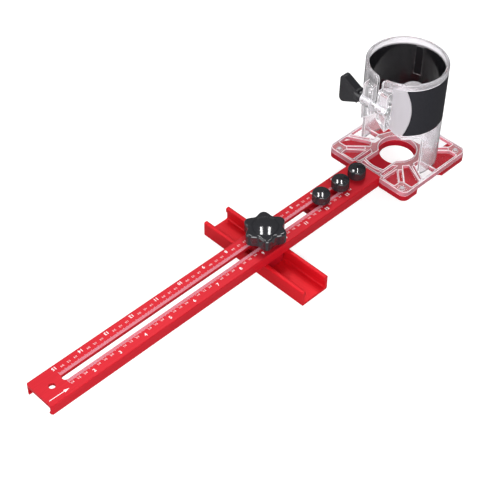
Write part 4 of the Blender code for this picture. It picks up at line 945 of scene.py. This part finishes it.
# %% Screws
SCREW_SIDES = 24
SCREW_RIM = 0.0001
SCREW_PITCH = 0.0007
SCREW_LEAD = 0.0004
SCREW_RIDGE = 0.0003
SCREW_POINT = 0.0004
CROSS_SHARE = 0.28
CUTTER_START = -0.001
BASE_SCREW = {"head_depth": 0.0022, "shank_radius": 0.002, "recess_half": 0.0021, "recess_depth": 0.0015}
FENCE_SCREW = {"head_depth": 0.0015, "shank_radius": 0.0015, "recess_half": 0.0016, "recess_depth": 0.0011}


def screw_template(nodes, head_depth, shank_radius, recess_half, recess_depth):
    """Return one countersunk screw at the origin, head down, with a cross recess."""
    low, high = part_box(nodes[0])
    radius = (high.x - low.x) / 2
    length = high.z - low.z
    profile = [(radius - SCREW_RIM, 0), (radius, SCREW_RIM), (shank_radius, head_depth)]
    turns = int((length - head_depth) / SCREW_PITCH)
    for turn in range(turns):
        start = head_depth + SCREW_LEAD + turn * (length - head_depth - SCREW_LEAD) / turns
        profile += [(shank_radius, start), (shank_radius - SCREW_RIDGE, start + SCREW_RIDGE)]
    profile.append((shank_radius - SCREW_POINT, length))
    body = skinned("screw_template", [circle(Vector(), r, z, SCREW_SIDES) for r, z in profile], zinc)
    arm, half = recess_half, recess_half * CROSS_SHARE
    cross = [(arm, -half), (arm, half), (half, half), (half, arm), (-half, arm), (-half, half)]
    cross += [(-x, -y) for x, y in cross]
    rings = [[(x, y, z) for x, y in cross] for z in (CUTTER_START, recess_depth)]
    cutter = skinned("recess_cutter", rings, zinc)
    cut = body.modifiers.new("recess", "BOOLEAN")
    cut.operation = "DIFFERENCE"
    cut.solver = "EXACT"
    cut.object = cutter
    bake(body)
    bpy.data.objects.remove(cutter)
    return body


def set_screws(name, body, nodes, seed, **sizes):
    """Show a set of screws in place of their solids."""
    template = screw_template(nodes, **sizes)
    spots = []
    for node in nodes:
        low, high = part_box(node)
        spots.append(((low.x + high.x) / 2, (low.y + high.y) / 2, low.z))
    mesh = bpy.data.meshes.new(name)
    mesh.from_pydata(spots, [], [])
    piece = link_piece(name, mesh, zinc)
    grow(piece, screws, {"Screw": template, "Seed": seed, "Finish": zinc})
    bpy.data.objects.remove(template)
    return show(piece, body, "zinc_steel", *nodes)


set_screws("base_screws", "jig", ["base_screw_%d" % index for index in range(1, 5)], 3, **BASE_SCREW)
set_screws("fence_screws", "fence", ["fence_screw_1", "fence_screw_2"], 5, **FENCE_SCREW)

# %% [markdown]
# ## The nut and the washers
# Small zinc plated parts, which only need broken edges.

# %% Nut and washers
dressed("star_washer", "fence", "zinc_steel", zinc, edge=0.00012)
dressed("clamp_nut", "jig", "zinc_steel", zinc, edge=0.0002)
dressed("clamp_washer", "jig", "zinc_steel", zinc, edge=0.0001)

# %% [markdown]
# ## The clear base
# The base is one moulding with ribs, bosses, a windowed collar and two clamp ears. Its edges shine
# because each is a small curved lens, so the bevel matters more here than on the metal. Two level cuts
# part the walls at the sleeve's band, so that the wall behind the sleeve and the frosted part of the
# gusset can have finishes of their own.

# %% The clear base
BASE_AXIS = Vector((0.1799, 0))
COLLAR_FACE_RADIUS = 0.0345
FLANGE_WALLS_TOP = 0.0253
UPRIGHT_LIMIT = 0.5
GUSSET_AZIMUTHS = (200, 231)
BAND_HEIGHTS = (0.0690, 0.1146)
EDGE_WIDTH = 0.0004
CLEAR, EDGE, MILKY, FROSTED, WALL = range(5)


def base_finish(face):
    """Return which clear finish a face of the base has."""
    centre = face.calc_center_median()
    away = centre.xy - BASE_AXIS
    azimuth = math.degrees(math.atan2(away.y, away.x)) % 360
    upright = abs(face.normal.z) < UPRIGHT_LIMIT
    in_band = BAND_HEIGHTS[0] < centre.z < BAND_HEIGHTS[1]
    if in_band and GUSSET_AZIMUTHS[0] < azimuth < GUSSET_AZIMUTHS[1]:
        return FROSTED
    # the flange's upright walls get the finish whose pink is painted red light
    if centre.z < FLANGE_WALLS_TOP:
        return WALL if upright else CLEAR
    behind_sleeve = upright and in_band and away.length < COLLAR_FACE_RADIUS
    return CLEAR if behind_sleeve else MILKY


shape = welded("router_base")
for height in BAND_HEIGHTS:
    parts = [*shape.verts, *shape.edges, *shape.faces]
    bmesh.ops.bisect_plane(shape, geom=parts, plane_co=(0, 0, height), plane_no=(0, 0, 1))
shape.normal_update()
finish_numbers = [base_finish(face) for face in shape.faces]
mesh = as_mesh("router_base_moulded", shape)
plain_mesh = mesh.copy()
base = link_piece("router_base_moulded", mesh, clear_plastic)
for finish in (edge_painted_glint, milky_plastic, frosted_plastic, wall_painted_red_light):
    mesh.materials.append(finish)
mesh.polygons.foreach_set("material_index", finish_numbers)
# the bevels take the whitish edge finish, which is a painted highlight
show(round_shading(break_edges(base, EDGE_WIDTH, 3, EDGE)), "jig", "clear_plastic", "router_base")

# %% [markdown]
# ### The light in the edges
# Every moulded edge is a small round lens that gathers the light of the whole room into a white line. A
# tree finds the sharp outer edges of the base in a range of heights and lays a slim bead of whitish
# plastic a little way inside each: the bead's white is a painted highlight for that line.

# %% A tree for edge beads
SHARP_BEND = 0.7
BEAD_DEPTH = 1.3
BEAD_SIDES = 6

beads, beads_in, beads_out = new_tree("painted_glint_beads", [
    ("Lowest", "NodeSocketFloat"), ("Highest", "NodeSocketFloat"), ("Farthest", "NodeSocketFloat"),
    ("Bead radius", "NodeSocketFloat"), ("Finish", "NodeSocketMaterial"),
])
bend = beads.nodes.new("GeometryNodeInputMeshEdgeAngle").outputs["Signed Angle"]
spot = beads.nodes.new("GeometryNodeInputPosition")
split = beads.nodes.new("ShaderNodeSeparateXYZ")
wire(beads, spot, "Position", split, "Vector")
chosen = maths(beads, "GREATER_THAN", bend, SHARP_BEND)
for test, axis, limit in (
    ("GREATER_THAN", "Z", "Lowest"), ("LESS_THAN", "Z", "Highest"), ("LESS_THAN", "X", "Farthest"),
):
    within = maths(beads, test, split.outputs[axis], beads_in.outputs[limit])
    chosen = maths(beads, "MULTIPLY", chosen, within)
inward = beads.nodes.new("ShaderNodeVectorMath")
inward.operation = "SCALE"
wire(beads, beads.nodes.new("GeometryNodeInputNormal"), "Normal", inward, "Vector")
sinking = maths(beads, "MULTIPLY", beads_in.outputs["Bead radius"], -BEAD_DEPTH)
beads.links.new(sinking, inward.inputs["Scale"])
sunk = beads.nodes.new("GeometryNodeSetPosition")
wire(beads, beads_in, "Geometry", sunk, "Geometry")
wire(beads, inward, "Vector", sunk, "Offset")
lines = beads.nodes.new("GeometryNodeMeshToCurve")
wire(beads, sunk, "Geometry", lines, "Mesh")
beads.links.new(chosen, lines.inputs["Selection"])
section = beads.nodes.new("GeometryNodeCurvePrimitiveCircle")
section.inputs["Resolution"].default_value = BEAD_SIDES
wire(beads, beads_in, "Bead radius", section, "Radius")
tubes = beads.nodes.new("GeometryNodeCurveToMesh")
tubes.inputs["Fill Caps"].default_value = True
wire(beads, lines, "Curve", tubes, "Curve")
wire(beads, section, "Curve", tubes, "Profile Curve")
send_painted(beads, tubes, "Mesh", beads_in, beads_out, "Finish")

# %% [markdown]
# ### Three sets of beads
# Thick beads of painted highlight follow the flange's upper edges, which shine most in the photograph.
# Thin ones follow its foot, and the collar's edges on the half that faces the arm. The heights are those
# of the sunk edges.

# %% Lay the beads
ALL_ALONG = 1.0
BEAD_SETS = (
    ("flange_edges", 0.0240, 0.0262, ALL_ALONG, 0.0004),
    ("flange_feet", 0.0200, 0.0214, ALL_ALONG, 0.0002),
    ("collar_edges", 0.0262, 0.1200, BASE_AXIS.x, 0.0002),
)
for name, lowest, highest, farthest, radius in BEAD_SETS:
    # each bead is a painted highlight laid along an edge
    piece = link_piece(name, plain_mesh.copy(), edge_painted_glint)
    grow(piece, beads, {
        "Lowest": lowest, "Highest": highest, "Farthest": farthest, "Bead radius": radius,
        "Finish": edge_painted_glint,
    })
    show(piece, "jig", "clear_plastic")

# %% [markdown]
# ## The sleeve
# The black rubber sleeve sits in a recess round the outside of the collar. Its inward faces are seen
# through the clear wall, where the photograph shows them darker, so they get a deeper black that is
# painted shade.

# %% The sleeve
INWARD_LIMIT = -0.5
sleeve = dressed("grip_sleeve", "jig", "black_rubber", black_rubber, edge=0.00015)
sleeve.data.materials.append(rubber_painted_shade)
# the inward faces get the darker copy of the rubber, which is painted shade
for polygon in sleeve.data.polygons:
    away = polygon.center.xy - BASE_AXIS
    if away.dot(polygon.normal.xy) < INWARD_LIMIT * away.length:
        polygon.material_index = 1
print("sleeve finishes:", [material.name for material in sleeve.data.materials])
